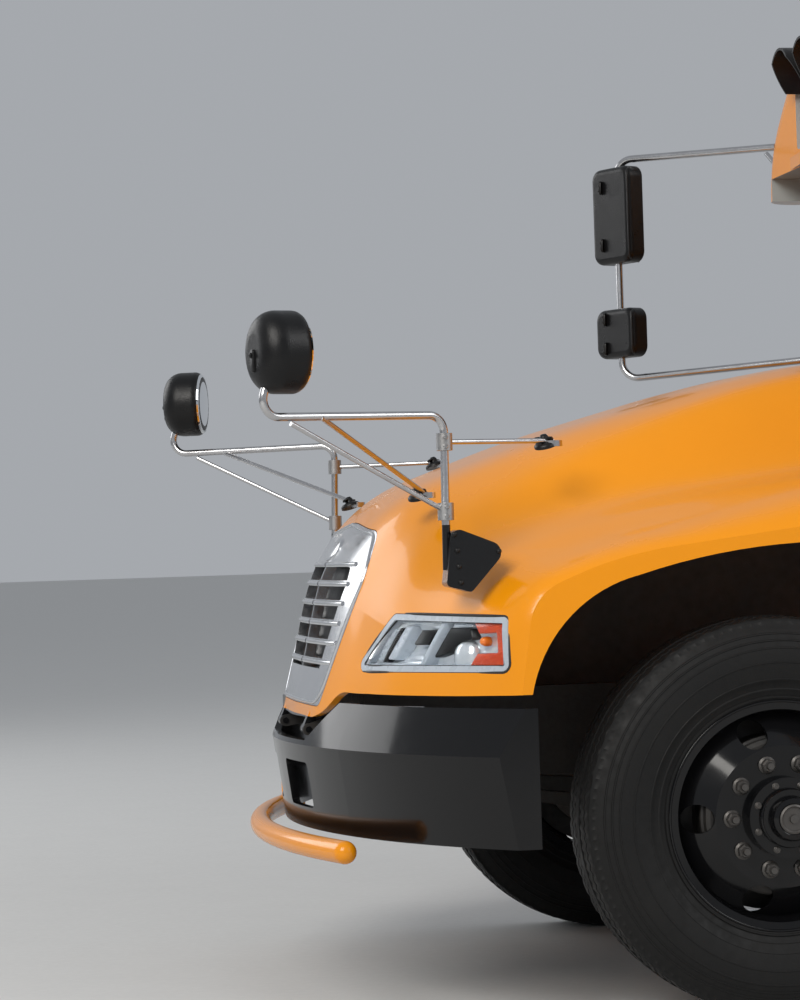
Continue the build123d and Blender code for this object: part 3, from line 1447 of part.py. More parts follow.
muffler_x = front_axle_x - 3300
muffler_y = 620
muffler_z = 740
with BuildPart() as exhaust:
    with BuildSketch(Plane.XZ.offset(-muffler_y)):
        with BuildLine():
            Polyline(
                (muffler_x - 1900, muffler_z), (muffler_x - 1900, muffler_z + 45),
                (muffler_x - 560, muffler_z + 45), (muffler_x - 500, muffler_z + 125),
                (muffler_x + 500, muffler_z + 125), (muffler_x + 560, muffler_z + 45),
                (muffler_x + 1500, muffler_z + 45), (muffler_x + 1500, muffler_z), close=True,
            )
        make_face()
    revolve(axis=Axis((0, muffler_y, muffler_z), (1, 0, 0)))
    for x in (muffler_x - 1200, muffler_x + 300):
        with Locations((x, (rail_half + muffler_y) / 2, muffler_z + 20)):
            Box(60, muffler_y - rail_half, 50)
exhaust.part.label = "exhaust"
export_step(exhaust.part, "parts/exhaust.step")


def tube(points, bend, radius):
    """A round tube bent through these points."""
    corners = [Vector(*point) for point in points]
    with BuildPart() as run:
        with BuildLine() as path:
            if bend:
                FilletPolyline(*corners, radius=bend)
            else:
                Line(*corners)
        with BuildSketch(Plane(origin=corners[0], z_dir=corners[1] - corners[0])):
            Circle(radius)
        sweep(path=path.line)
    return run.part


# Rear-view mirrors: a tube frame on each side, with a tall head and a low head
mirror_tube_r = 12.5
mirror_y = 1500
mirror_frames = [
    # corners in u, y and z from the upper end to the lower one
    [(-712, -1100, 2587), (-250, -mirror_y, 2600), (-250, -mirror_y, 1830), (-806, -1080, 1860)],
    [(-830, 1185, 2505), (-850, mirror_y, 2462), (-850, mirror_y, 1830), (-868, 1190, 1830)],
]
mirror_head_table = [
    # u, y, z, height, turn
    (-250, -mirror_y, 2404, 337, 25), (-250, -mirror_y, 1991, 172, 25),
    (-850, mirror_y, 2245, 310, -25), (-850, mirror_y, 1950, 172, -25),
]
head_wide = 210
head_deep = 70
foot_r = 36
with BuildPart() as mirror_arms:
    for points in mirror_frames:
        add(tube([(front_axle_x + u, y, z) for u, y, z in points], 60, mirror_tube_r))
    add(tube([(front_axle_x - 739, -1300, 2592), (front_axle_x - 808, -1165, 2440)], 0, 8))
    with Locations(
        Location((front_axle_x - 868, 1200 + 6, 1830), (90, 0, 0)),
        Location((front_axle_x - 830, 1200 + 6, 2505), (90, 0, 0)),
    ):
        Cylinder(foot_r, 12)
mirror_arms.part.label = "mirror_arms"

with BuildPart() as mirror_heads:
    for u, y, z, high, turn in mirror_head_table:
        with BuildPart(mode=Mode.PRIVATE) as head:
            Box(head_deep, head_wide, high)
            fillet(head.edges().filter_by(Axis.X), 40)
            fillet(head.faces().sort_by(Axis.X)[-1].edges(), 22)
            fillet(head.faces().sort_by(Axis.X)[0].edges(), 8)
        with Locations(Location((front_axle_x + u, y, z), (0, 0, turn))):
            add(head.part)
mirror_arms.part = mirror_arms.part - mirror_heads.part - cap_outer - cowl_block.part
export_step(mirror_arms.part, "parts/mirror_arms.step")
mirror_heads.part.label = "mirror_heads"
export_step(mirror_heads.part, "parts/mirror_heads.step")

# Crossview mirrors: a shroud on each side of the nose, a post, a rail forward and three braces
post_r = 11
brace_r = 7
shroud_wide = 76
shroud_outline = [
    # u, z of the shroud seen from the side, its face forward
    (846, 1313), (866, 1158), (800, 1140), (698, 1253),
]
crossview_post = [
    # u, y, z up the post, along the rail and up to the head
    (856, 1035, 1200), (848, 1012, 1607), (1371, 1271, 1601), (1318, 1250, 1765),
]
crossview_braces = [
    # from u, y, z to u, y, z
    ((1198, 1193, 1600), (836, 639, 1407)),
    ((852, 1022, 1353), (1280, 1226, 1585)),
    ((850, 1015, 1536), (523, 854, 1538)),
]
head_u = 1314
head_y = 1247
head_z = 1765
head_half_wide = 95
head_half_high = 106
cross_head_deep = 130
with BuildPart() as crossview_arms:
    for side in (-1, 1):
        with BuildSketch(Plane.XZ.offset(-side * 1040)):
            with BuildLine():
                FilletPolyline(
                    [(front_axle_x + u, z) for u, z in shroud_outline], radius=[22, 12, 12, 30],
                    close=True,
                )
            make_face()
        extrude(amount=shroud_wide / 2, both=True)
        points = [(front_axle_x + u, side * y, z) for u, y, z in crossview_post]
        add(tube(points, 45, post_r))
        for start, end in crossview_braces:
            ends = [(front_axle_x + u, side * y, z) for u, y, z in (start, end)]
            add(tube(ends, 0, brace_r))
        for u, y, z in ((836, 639, 1404), (523, 854, 1530)):
            with Locations((front_axle_x + u, side * y, z)):
                Cylinder(26, 16)
        for u, y, z in ((852, 1022, 1353), (849, 1015, 1536)):
            with Locations((front_axle_x + u, side * y, z)):
                Cylinder(20, 40)
crossview_arms.part = crossview_arms.part - nose_outer
with BuildPart() as crossview_heads:
    for side in (-1, 1):
        with BuildPart(mode=Mode.PRIVATE) as shell:
            with BuildSketch(Plane.YZ):
                Ellipse(head_half_wide, head_half_high)
            extrude(amount=cross_head_deep / 2, both=True)
            fillet(shell.faces().sort_by(Axis.X)[-1].edges(), 60)
            fillet(shell.faces().sort_by(Axis.X)[0].edges(), 25)
        with Locations(Location((front_axle_x + head_u, side * head_y, head_z), (0, 0, side * 18))):
            add(shell.part)
crossview_arms.part = crossview_arms.part - crossview_heads.part
crossview_arms.part.label = "crossview_arms"
export_step(crossview_arms.part, "parts/crossview_arms.step")
crossview_heads.part.label = "crossview_heads"
export_step(crossview_heads.part, "parts/crossview_heads.step")

# Crossing gate: a bent tube level under the bumper, on an upright hinge at its right end
gate_z = 455
gate_tube_r = 31.5
gate_hinge = (front_axle_x + 1030, -930)
gate_tip = (front_axle_x + 1120, 830)
gate_top = 800
gate_pin_r = 16
with BuildPart() as gate_base:
    with Locations((gate_hinge[0] - 30, gate_hinge[1], (560 + gate_top) / 2)):
        Box(100, 110, gate_top - 560)
    fillet(gate_base.edges().filter_by(Axis.Z), 14)
    with Locations((gate_hinge[0], gate_hinge[1], 505)):
        Cylinder(gate_pin_r, 130)
gate_base.part = gate_base.part - bumper_outer.part
gate_base.part.label = "gate_base"
export_step(gate_base.part, "parts/gate_base.step")

with BuildPart() as gate_arm:
    with BuildLine() as gate_line:
        ThreePointArc((*gate_hinge, gate_z), (front_axle_x + 1235, -50, gate_z), (*gate_tip, gate_z))
    with BuildSketch(Plane(origin=gate_line.line @ 0, z_dir=gate_line.line % 0)):
        Circle(gate_tube_r)
    sweep(path=gate_line.line)
    with Locations((*gate_tip, gate_z)):
        Sphere(gate_tube_r)
    with Locations((*gate_hinge, gate_z + 20)):
        Cylinder(38, 90)
        Cylinder(gate_pin_r + pin_clear, 200, mode=Mode.SUBTRACT)
gate_arm.part.label = "gate_arm"
export_step(gate_arm.part, "parts/gate_arm.step")

# Stop arm on the left side: a hinge bracket and a folding octagon
stop_x = front_axle_x - 1700
stop_z = 1480
stop_pin_y = body_half + 46
stop_pin_r = 10
stop_flat = 456
stop_thick = 12
stop_arm_z = 110
with BuildPart() as stop_bracket:
    for level in (-1, 1):
        with Locations((stop_x, body_half + 27, stop_z + level * stop_arm_z)):
            Box(60, 54, 16)
        with Locations((stop_x, stop_pin_y, stop_z + level * stop_arm_z)):
            Cylinder(stop_pin_r + 8, 16)
    with Locations((stop_x, body_half + 4, stop_z)):
        Box(70, 8, 2 * stop_arm_z + 60)
stop_bracket.part.label = "stop_bracket"
export_step(stop_bracket.part, "parts/stop_bracket.step")

with BuildPart() as stop_sign:
    with BuildSketch(Plane.XZ.offset(-stop_pin_y)):
        with Locations((stop_x - 45 - stop_flat / 2, stop_z)):
            RegularPolygon(stop_flat / 2, 8, major_radius=False, rotation=22.5)
        with Locations((stop_x - 30, stop_z)):
            Rectangle(60, 120)
    extrude(amount=stop_thick / 2, both=True)
    with Locations((stop_x, stop_pin_y, stop_z)):
        Cylinder(stop_pin_r, 2 * stop_arm_z - 30)
stop_sign.part.label = "stop_sign"
export_step(stop_sign.part, "parts/stop_sign.step")

# Wipers: a spindle, an arm and a blade for each pane, parked low
wiper_y = 520
with BuildPart() as wipers:
    for side in (-1, 1):
        front = cowl_x - glass_set_back
        near = bow_back(cowl_bow_r, wiper_y)
        far = bow_back(cowl_bow_r, wiper_y - 240)
        start = (front - near + 16, side * wiper_y, cowl_top + 30)
        end = (front - far + 8, side * (wiper_y - 240), cowl_top + 62)
        add(tube([start, end], 0, 7))
        with Locations(Location(start, (0, 90, 0))):
            Cylinder(16, 30)
        add(tube([(front - bow_back(cowl_bow_r, 560) + 12, side * 560, cowl_top + 40),
                  (front + 10, side * 30, cowl_top + 62)], 0, 6))
wipers.part.label = "wipers"
export_step(wipers.part, "parts/wipers.step")
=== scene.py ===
from math import copysign, cos, hypot, pi, radians, sin, sqrt, tan

import bmesh
import bpy
import numpy as np
from mathutils import Matrix, Vector
from mathutils.bvhtree import BVHTree


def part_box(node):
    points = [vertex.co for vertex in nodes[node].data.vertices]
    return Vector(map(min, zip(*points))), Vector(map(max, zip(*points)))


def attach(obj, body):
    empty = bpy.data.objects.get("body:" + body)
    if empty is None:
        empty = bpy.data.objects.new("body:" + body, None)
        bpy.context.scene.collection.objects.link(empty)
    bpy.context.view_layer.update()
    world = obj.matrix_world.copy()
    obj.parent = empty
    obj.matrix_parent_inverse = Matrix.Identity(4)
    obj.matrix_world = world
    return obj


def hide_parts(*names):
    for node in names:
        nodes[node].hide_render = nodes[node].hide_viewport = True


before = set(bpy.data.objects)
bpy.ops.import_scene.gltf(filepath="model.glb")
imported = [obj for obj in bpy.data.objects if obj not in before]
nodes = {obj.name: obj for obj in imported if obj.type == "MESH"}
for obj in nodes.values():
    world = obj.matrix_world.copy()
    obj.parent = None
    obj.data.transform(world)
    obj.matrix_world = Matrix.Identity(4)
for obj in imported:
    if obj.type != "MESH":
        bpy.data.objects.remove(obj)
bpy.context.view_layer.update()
scene = bpy.context.scene

# Places are in metres; the sizes that the mesh helpers take are in millimetres
MM = 0.001
AXLE = 4.165  # x of the front axle
REAR = AXLE - 6.4  # x of the rear axle
TAIL = AXLE - 9.62  # x of the rear wall's face
SEAM = AXLE - 0.85  # x of the seam between front cap and roof
WALL = 1.2  # y of the body's side
AXLE_Z = 0.526
BAY = 0.697  # from one side window to the next
BAYS = [AXLE - 1.8 - (i + 0.5) * BAY for i in range(11)]
YELLOW_RGB = (0.82, 0.285, 0.002)
# Grey-brown for upward faces: dust, and a painted sheen of reflected light on the tops
DUST_SHEEN_RGB = (0.42, 0.36, 0.28)
WHITE_RGB = (0.80, 0.81, 0.80)
BLACK_RGB = (0.004, 0.004, 0.0045)
LINING_RGB = (0.42, 0.44, 0.43)
SIDES = (("left", 1), ("right", -1))
moved = Matrix.Translation


# Materials


class Look:
    """A node material under way."""

    def __init__(self, name):
        self.mat = bpy.data.materials.new(name)
        self.mat.use_nodes = True
        self.nodes = self.mat.node_tree.nodes
        self.links = self.mat.node_tree.links
        self.bsdf = self.nodes["Principled BSDF"]
        self.coords = self.new("TexCoord").outputs["Object"]

    def fill(self, node, **values):
        for key, value in values.items():
            node.inputs[key.replace("_", " ")].default_value = value
        return node

    def new(self, kind, **values):
        return self.fill(self.nodes.new("ShaderNode" + kind), **values)

    def noise(self, scale, detail=4, rough=0.5):
        node = self.new("TexNoise", Scale=scale, Detail=detail, Roughness=rough)
        self.links.new(self.coords, node.inputs["Vector"])
        return node.outputs["Fac"]

    def ramp(self, value, low, high, to_low=0, to_high=1):
        node = self.new("MapRange", From_Min=low, From_Max=high, To_Min=to_low, To_Max=to_high)
        self.links.new(value, node.inputs["Value"])
        return node.outputs["Result"]

    def maths(self, kind, first, second=None):
        node = self.new("Math")
        node.operation = kind
        for socket, value in zip(node.inputs, (first, second)):
            if isinstance(value, (int, float)):
                socket.default_value = value
            elif value is not None:
                self.links.new(value, socket)
        return node.outputs[0]

    def mix(self, factor, first, second):
        node = self.new("Mix")
        node.data_type = "RGBA"
        self.links.new(factor, node.inputs["Factor"])
        for key, value in (("A", first), ("B", second)):
            if isinstance(value, tuple):
                node.inputs[key].default_value = (*value, 1)
            else:
                self.links.new(value, node.inputs[key])
        return node.outputs["Result"]

    def split(self, source, key):
        node = self.new("SeparateXYZ")
        self.links.new(source, node.inputs[0])
        return node.outputs[key]

    def axis(self, key):
        return self.split(self.coords, key)

    def facing(self, key):
        return self.split(self.new("NewGeometry").outputs["Normal"], key)

    def bump(self, value, strength):
        node = self.new("Bump", Strength=strength, Distance=0.002)
        self.links.new(value, node.inputs["Height"])
        self.wire("Normal", node.outputs["Normal"])

    def wire(self, key, value):
        self.links.new(value, self.bsdf.inputs[key])

    def overpaint(self, colour, *masks):
        """Another colour where every mask holds; returns the joint mask."""
        mask = masks[0]
        for other in masks[1:]:
            mask = self.maths("MULTIPLY", mask, other)
        under = self.bsdf.inputs["Base Color"].links[0].from_socket
        self.wire("Base Color", self.mix(mask, under, colour))
        return mask


def finish(name, colour, rough=0.4, metal=0, coat=0, tint=None, scale=5, weight=0.35, grain=0,
           pitch=120):
    """A finish whose colour and roughness drift over the surface, with a fine grain."""
    look = Look(name)
    cloud = look.ramp(look.noise(scale, 6), 0.35, 0.75, 0, weight)
    look.wire("Base Color", look.mix(cloud, colour, tint or tuple(0.8 * c for c in colour)))
    fine = look.noise(scale * 7, 3)
    look.wire("Roughness", look.ramp(fine, 0.3, 0.7, 0.82 * rough, min(1, 1.2 * rough)))
    look.fill(look.bsdf, Metallic=metal, Coat_Weight=coat, Coat_Roughness=0.05)
    if grain:
        look.bump(look.noise(pitch, 3), grain)
    return look


def paint(name, colour, dust_sheen=0.08):
    """Glossy vehicle paint: a slight orange peel, and dust with a painted sheen where it faces up.
    """
    look = Look(name)
    # Upward faces drift towards grey-brown in clouds: dust, and a painted sheen on the tops
    up = look.ramp(look.facing("Z"), 0.72, 1, 0, dust_sheen)
    cloud = look.noise(3, 7, 0.6)
    cover = look.maths("MULTIPLY", up, look.ramp(cloud, 0.3, 0.7, 0.3, 1))
    drift = look.ramp(look.noise(1.3, 3), 0.3, 0.7)
    shade = look.mix(drift, colour, tuple(0.93 * c for c in colour))
    look.wire("Base Color", look.mix(cover, shade, DUST_SHEEN_RGB))
    look.wire("Roughness", look.ramp(cover, 0, 0.4, 0.26, 0.5))
    look.fill(look.bsdf, Coat_Weight=0.35, Coat_Roughness=0.05, Specular_IOR_Level=0.28)
    look.bump(look.noise(240, 2), 0.03)
    return look


def clear(name, colour, dirt=0.25):
    """Thin glass: tinted, almost straight through, with a little dirt."""
    look = Look(name)
    cloud = look.ramp(look.noise(2.4, 8, 0.65), 0.45, 0.8, 0, dirt)
    look.wire("Base Color", look.mix(cloud, colour, tuple(0.75 * c for c in colour)))
    look.wire("Roughness", look.ramp(cloud, 0, 0.3, 0.02, 0.14))
    look.fill(look.bsdf, Transmission_Weight=1, IOR=1.06, Specular_IOR_Level=0.9)
    return look


YELLOW = paint("yellow_paint", YELLOW_RGB).mat
WHITE = paint("white_paint", WHITE_RGB, dust_sheen=0.12).mat
BLACK = finish("gloss_black", BLACK_RGB, 0.12, coat=0.15, scale=3).mat
SATIN = finish("satin_black", (0.008, 0.008, 0.0085), 0.36, tint=(0.016, 0.015, 0.014),
               grain=0.15).mat
MOULDED = finish("moulded_black", (0.006, 0.006, 0.0065), 0.33, grain=0.3, pitch=300).mat
RUBBER = finish("tyre_rubber", (0.0055, 0.0055, 0.0055), 0.6, tint=(0.013, 0.012, 0.011), grain=0.2,
                pitch=160).mat
GASKET = finish("gasket", (0.012, 0.012, 0.012), 0.5).mat
CHROME = finish("chrome", (0.66, 0.67, 0.69), 0.2, metal=1, tint=(0.6, 0.6, 0.62), scale=9).mat
TUBE_LOOK = dict(rough=0.2, metal=1, tint=(0.36, 0.34, 0.33), scale=20)
TUBE_RGB = (0.55, 0.55, 0.56)
TUBE = finish("polished_tube", TUBE_RGB, **TUBE_LOOK).mat
ZINC = finish("zinc", (0.42, 0.42, 0.42), metal=1, tint=(0.25, 0.22, 0.2), scale=30).mat
DARK_STEEL = finish("dark_steel", (0.1, 0.095, 0.09), 0.45, metal=0.8,
                    tint=(0.06, 0.05, 0.045)).mat
CHASSIS = finish("chassis_black", (0.01, 0.0095, 0.009), 0.6, tint=(0.035, 0.028, 0.022), scale=8,
                 weight=0.5, grain=0.3).mat
CAST = finish("cast_iron", (0.045, 0.043, 0.04), 0.7, tint=(0.09, 0.06, 0.04), grain=0.5,
              weight=0.6).mat
BEZEL = finish("lamp_bezel", (0.42, 0.47, 0.53), 0.28, tint=(0.3, 0.33, 0.36)).mat
REFLECTOR = finish("reflector", (0.78, 0.82, 0.86), 0.16, metal=0.55, tint=(0.5, 0.54, 0.58),
                   scale=14).mat
VINYL = finish("seat_vinyl", (0.012, 0.028, 0.045), 0.5, tint=(0.02, 0.04, 0.06), grain=0.5,
               pitch=420).mat
FLOORING = finish("rubber_floor", (0.03, 0.03, 0.031), 0.6, tint=(0.06, 0.055, 0.05),
                  grain=0.3).mat
PLASTIC = finish("cabin_plastic", (0.05, 0.05, 0.052), 0.55, grain=0.4, pitch=260).mat
RED = finish("red_lens", (0.42, 0.008, 0.006), 0.16, coat=0.7, tint=(0.28, 0.004, 0.004),
             scale=12).mat
AMBER = finish("amber_lens", (0.8, 0.19, 0.008), 0.16, coat=0.7, tint=(0.6, 0.12, 0.004),
               scale=12).mat
ORANGE = finish("side_lens", (0.52, 0.042, 0.006), 0.25, coat=0.3, tint=(0.7, 0.11, 0.01),
                scale=60).mat
STOP_RED = finish("sign_red", (0.5, 0.01, 0.012), 0.3, tint=(0.36, 0.008, 0.01)).mat
SIGN_WHITE = finish("sign_white", (0.75, 0.75, 0.73), 0.35, tint=(0.6, 0.6, 0.58)).mat
PANEL = finish("cap_panel", (0.3, 0.27, 0.23), 0.35, tint=(0.22, 0.2, 0.17)).mat
GOLD = finish("gold_trim", (0.55, 0.33, 0.06), 0.3, metal=0.6).mat
GLASS = clear("window_glass", (0.42, 0.5, 0.5)).mat
LENS = clear("clear_lens", (0.9, 0.93, 0.95), dirt=0.15).mat
MIRROR = finish("mirror_glass", (0.8, 0.82, 0.84), 0.03, metal=1, tint=(0.7, 0.72, 0.74)).mat
for mat in (BLACK, RUBBER, SATIN, MOULDED):
    mat.node_tree.nodes["Principled BSDF"].inputs["Specular IOR Level"].default_value = 0.25

# Roof: yellow at the sides and front, a white panel with a rounded front edge
look = paint("roof_paint", YELLOW_RGB, dust_sheen=0.12)
side = look.maths("ABSOLUTE", look.axis("Y"))
bow = look.maths("MULTIPLY", look.maths("POWER", look.maths("MULTIPLY", side, 1.28), 4), 0.5)
ahead = look.maths("ADD", look.axis("X"), bow)
look.overpaint(WHITE_RGB, look.maths("LESS_THAN", side, 0.76),
               look.maths("LESS_THAN", ahead, SEAM - 0.16),
               look.maths("GREATER_THAN", look.axis("Z"), 2.86))
ROOF = look.mat

# Crossview tubes: polished above, black low down where they stand in their shrouds
look = finish("crossview_tube", TUBE_RGB, **TUBE_LOOK)
side = look.maths("ABSOLUTE", look.axis("Y"))
black = look.overpaint(BLACK_RGB, look.maths("LESS_THAN", look.axis("Z"), 1.318),
                       look.maths("GREATER_THAN", side, 0.98))
look.wire("Metallic", look.maths("SUBTRACT", 1, black))
SHROUD = look.mat

# Nose: yellow, with the hinge lugs under the chin painted black
look = paint("nose_paint", YELLOW_RGB)
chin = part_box("grille")[0][2] - 0.032
side = look.maths("ABSOLUTE", look.axis("Y"))
look.overpaint(BLACK_RGB, look.maths("LESS_THAN", look.axis("Z"), chin),
               look.maths("LESS_THAN", side, 0.34))
NOSE = look.mat

# Body: yellow outside, grey lining on the faces that point at its middle
look = paint("lined_yellow", YELLOW_RGB)
across = look.maths("MULTIPLY", look.axis("Y"), look.facing("Y"))
lift = look.maths("MAXIMUM", look.maths("SUBTRACT", look.axis("Z"), 2.3), 0)
outward = look.maths("ADD", across, look.maths("MULTIPLY", lift, look.facing("Z")))
look.overpaint(LINING_RGB, look.maths("LESS_THAN", outward, -0.03))
LINED = look.mat


# Mesh helpers


def mesh_of(name, bm, mat):
    """A smooth-shaded mesh from a bmesh, which is used up."""
    bmesh.ops.remove_doubles(bm, verts=bm.verts, dist=1e-5)
    mesh = bpy.data.meshes.new(name)
    bm.to_mesh(mesh)
    bm.free()
    mesh.materials.append(mat)
    mesh.shade_smooth()
    return mesh


def add_piece(name, mesh, body, replaced=(), place=None):
    """Put a mesh in the scene as a piece that rides on a body."""
    obj = bpy.data.objects.new(name, mesh)
    scene.collection.objects.link(obj)
    if place:
        obj.matrix_world = place
    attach(obj, body)
    if replaced:
        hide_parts(*replaced)
    return obj


def settle(name, bm, mat, body="bus", edge=60, replaced=()):
    """Turn a bmesh into a piece, its edges sharp beyond an angle in degrees."""
    mesh = mesh_of(name, bm, mat)
    mesh.set_sharp_from_angle(angle=radians(edge))
    add_piece(name, mesh, body, replaced)


def frame_at(origin, normal, up=(0, 0, 1)):
    """Matrix whose local Z is the normal and whose local Y leans towards up."""
    z = Vector(normal).normalized()
    x = Vector(up).cross(z)
    if x.length < 1e-4:
        x = Vector((1, 0, 0)).cross(z)
    x.normalize()
    turn = Matrix((x, z.cross(x), z)).transposed().to_4x4()
    return moved(Vector(origin)) @ turn


def circle(place, radius, height, steps, start=0):
    """Points round local Z of a placing matrix."""
    turns = [start + 2 * pi * i / steps for i in range(steps)]
    return [place @ Vector((radius * cos(t), radius * sin(t), height)) for t in turns]


def skin(bm, rings, closed_ring=True, closed_run=False, foot=False, top=False):
    """Faces between successive rings of points, and over the first or the last."""
    verts = [[bm.verts.new(p) for p in ring] for ring in rings]
    count = len(rings[0])
    pairs = list(zip(verts, verts[1:]))
    if closed_run:
        pairs.append((verts[-1], verts[0]))
    for low, high in pairs:
        for i in range(count if closed_ring else count - 1):
            k = (i + 1) % count
            bm.faces.new((low[i], low[k], high[k], high[i]))
    if foot:
        bm.faces.new(list(reversed(verts[0])))
    if top:
        bm.faces.new(verts[-1])
    return verts


def lathe(bm, profile, steps, place, closed=False, shift=None):
    """Revolve (radius, height) points about local Z; shift moves them step by step."""
    rings = []
    for i in range(steps):
        turn = 2 * pi * i / steps
        ring = []
        for r, h in profile:
            if shift:
                r, h = shift(i, r, h)
            ring.append(place @ (MM * Vector((r * cos(turn), r * sin(turn), h))))
        rings.append(ring)
    skin(bm, rings, closed_ring=closed, closed_run=True)


def disc(bm, place, profile, steps=24):
    """A turned knob from a profile that runs from the rim to the axis."""
    skin(bm, [circle(place, r * MM, h * MM, steps) for r, h in profile], foot=True, top=True)


def tube(bm, points, radius, sides=12, closed=False, squash=None, aim=None):
    """A rod along points; squash(i) gives factors for its two half widths."""
    points = [Vector(p) for p in points]
    ends = points[-1:] + points + points[:1] if closed else points[:1] + points + points[-1:]
    ways = [(after - before).normalized() for before, after in zip(ends, ends[2:])]
    side = ways[0].orthogonal().normalized() if aim is None else Vector(aim)
    rings = []
    for i, (point, way) in enumerate(zip(points, ways)):
        side = (side - way * side.dot(way)).normalized()
        wide, high = squash(i) if squash else (1, 1)
        across = radius * MM * wide * side
        rise = radius * MM * high * way.cross(side)
        turns = [2 * pi * k / sides for k in range(sides)]
        rings.append([point + cos(t) * across + sin(t) * rise for t in turns])
    skin(bm, rings, closed_run=closed, foot=not closed, top=not closed)


def bent(points, bend, steps=8):
    """A run of points with its corners rounded."""
    points = [Vector(p) for p in points]
    run = [points[0]]
    for before, corner, after in zip(points, points[1:], points[2:]):
        back = (before - corner).normalized()
        ahead = (after - corner).normalized()
        half = back.angle(ahead) / 2
        room = 0.48 * min((before - corner).length, (after - corner).length)
        reach = min(bend / tan(half), room)
        radius = reach * tan(half)
        centre = corner + (back + ahead).normalized() * (radius / sin(half))
        start = corner + back * reach
        end = corner + ahead * reach
        for i in range(steps + 1):
            point = start.lerp(end, i / steps)
            run.append(centre + (point - centre).normalized() * radius)
    run.append(points[-1])
    return run


def rounded(width, height, radius, steps=6):
    """Corner-rounded rectangle as 2-D points, anticlockwise from the lower right."""
    ring = []
    for k, (sx, sy) in enumerate(((1, -1), (1, 1), (-1, 1), (-1, -1))):
        for i in range(steps + 1):
            turn = radians(90 * (k - 1) + 90 * i / steps)
            ring.append((sx * (width / 2 - radius) + radius * cos(turn),
                         sy * (height / 2 - radius) + radius * sin(turn)))
    return ring


def block(bm, place, width, height, depth, radius, bevel, steps=4):
    """A rounded block on local XY, its front edge bevelled."""
    soft = 0.3 * bevel
    rings = []
    for inset, z in ((0, 0), (0, depth - bevel), (soft, depth - soft), (bevel, depth)):
        corner = max(radius - inset, 0.5)
        flat = rounded(width - 2 * inset, height - 2 * inset, corner, steps)
        rings.append([place @ (MM * Vector((x, y, z))) for x, y in flat])
    skin(bm, rings, foot=True, top=True)


def rivet(bm, place, radius, rise, sides):
    """A domed rivet head standing on local XY; rise is its height over its width."""
    high = 2 * rise * radius * MM
    turns = [pi / 6 * k for k in range(3)]
    verts = skin(bm, [circle(place, radius * MM * cos(t), high * sin(t) - 0.5 * MM, sides)
                      for t in turns])
    top = bm.verts.new(place @ Vector((0, 0, high)))
    for i in range(sides):
        bm.faces.new((verts[-1][i], verts[-1][(i + 1) % sides], top))


def hex_bolt(bm, place, across, high, flange=1.35):
    """A flanged bolt head with its corners taken off and a dimple."""
    half = across / 2
    disc(bm, place, [(half * flange, -1), (half * flange, 0.15 * high), (half * 1.1, 0.3 * high),
                     (1, 0.31 * high)], 16)
    rings = []
    for grow, level in ((1, 0.25), (1, 0.85), (0.86, 1), (0.6, 1), (0.5, 0.9)):
        ring = []
        for i in range(12):
            turn = radians(30 * i)
            reach = half * grow * (1.155 if i % 2 == 0 and grow == 1 else 1)
            point = Vector((reach * cos(turn), reach * sin(turn), level * high))
            ring.append(place @ (MM * point))
        rings.append(ring)
    skin(bm, rings, foot=True, top=True)


def tree_of(*names):
    """A search tree over the meshes of some CAD nodes."""
    points = []
    faces = []
    for name in names:
        mesh = nodes[name].data
        start = len(points)
        points += [v.co.copy() for v in mesh.vertices]
        faces += [[start + i for i in p.vertices] for p in mesh.polygons]
    return BVHTree.FromPolygons(points, faces)


def on(tree, origin, way):
    """Placing matrix where a ray meets a surface, its Z along the normal."""
    way = Vector(way).normalized()
    hit, normal, _, _ = tree.ray_cast(Vector(origin), way)
    if hit is None:
        return None
    return frame_at(hit, -normal if normal.dot(way) > 0 else normal)


def glazed(node, body, mat, axis, middle):
    """A copy of a node in one material, its pane near a middle plane in glass."""
    name = node + "_dressed"
    mesh = nodes[node].data.copy()
    mesh.name = name
    mesh.materials.clear()
    mesh.materials.append(mat)
    mesh.materials.append(GLASS)
    inside = [abs(v.co[axis] - middle) < 0.0045 for v in mesh.vertices]
    for p in mesh.polygons:
        p.material_index = int(all(inside[i] for i in p.vertices))
    add_piece(name, mesh, body, (node,))


# Tyres and wheels: profiles in millimetres, places in metres

TYRE_R = 526
TREAD_HALF = 106
TREAD_STEPS = 240
GROOVES = (23.5, 68)
GROOVE_HALF = 5.5
GROOVE_DEEP = 13
FRONT_Y = 1.015
REAR_Y = (0.715, 1.045)
RIM_RING = 0.302
STUDS, STUD_RING = 10, 0.1429
HUB_BOLTS, HUB_RING = 8, 0.089
TYRE_WALL = [
    (291, 94), (298, 106), (304, 111.5), (309, 113.5), (310.5, 117.5), (314.5, 118),
    (316.5, 114.5), (330, 120), (331.5, 121.5), (334.5, 122), (336, 121.2), (356, 129),
    (357.3, 130.5), (360.3, 131.2), (361.5, 130.3), (384, 136.2), (402, 138.8), (403.3, 140.2),
    (406.3, 140.4), (407.5, 139.1), (426, 139.2), (440, 137.5), (441.2, 138.8), (444, 138.4),
    (445.2, 136.6), (460, 132.5), (461.2, 134.5), (464, 133.8), (465.2, 131.2), (478, 126.2),
    (479.2, 127.8), (482.2, 126.8), (483.4, 124), (493, 120), (500, 117.2), (508.5, 114),
    (514, 111.2),
]
DRUM = [(150, 146), (196, 146), (206, 138), (206, 110), (212, 106), (212, 92), (206, 88),
        (206, 30), (213, 22), (258, 12), (258, 8), (198, 6), (198, 130), (150, 136)]
OIL_CAP = (
    ("_hub_cap", BLACK, 48, [(78, -1), (78, 12), (72, 20), (60, 22), (58, 40), (54, 48), (42, 51),
                             (39, 49), (36, 42), (2, 42)]),
    ("_oil_window", DARK_STEEL, 40, [(38.5, 40), (38.5, 50), (34, 52.5), (31, 50), (30, 46.5),
                                     (12, 46.5), (11, 53), (2, 54)]),
)
PLAIN_CAP = (("_hub_cap", SATIN, 40, [(79, -1), (79, 6), (74, 9), (2, 12)]),)


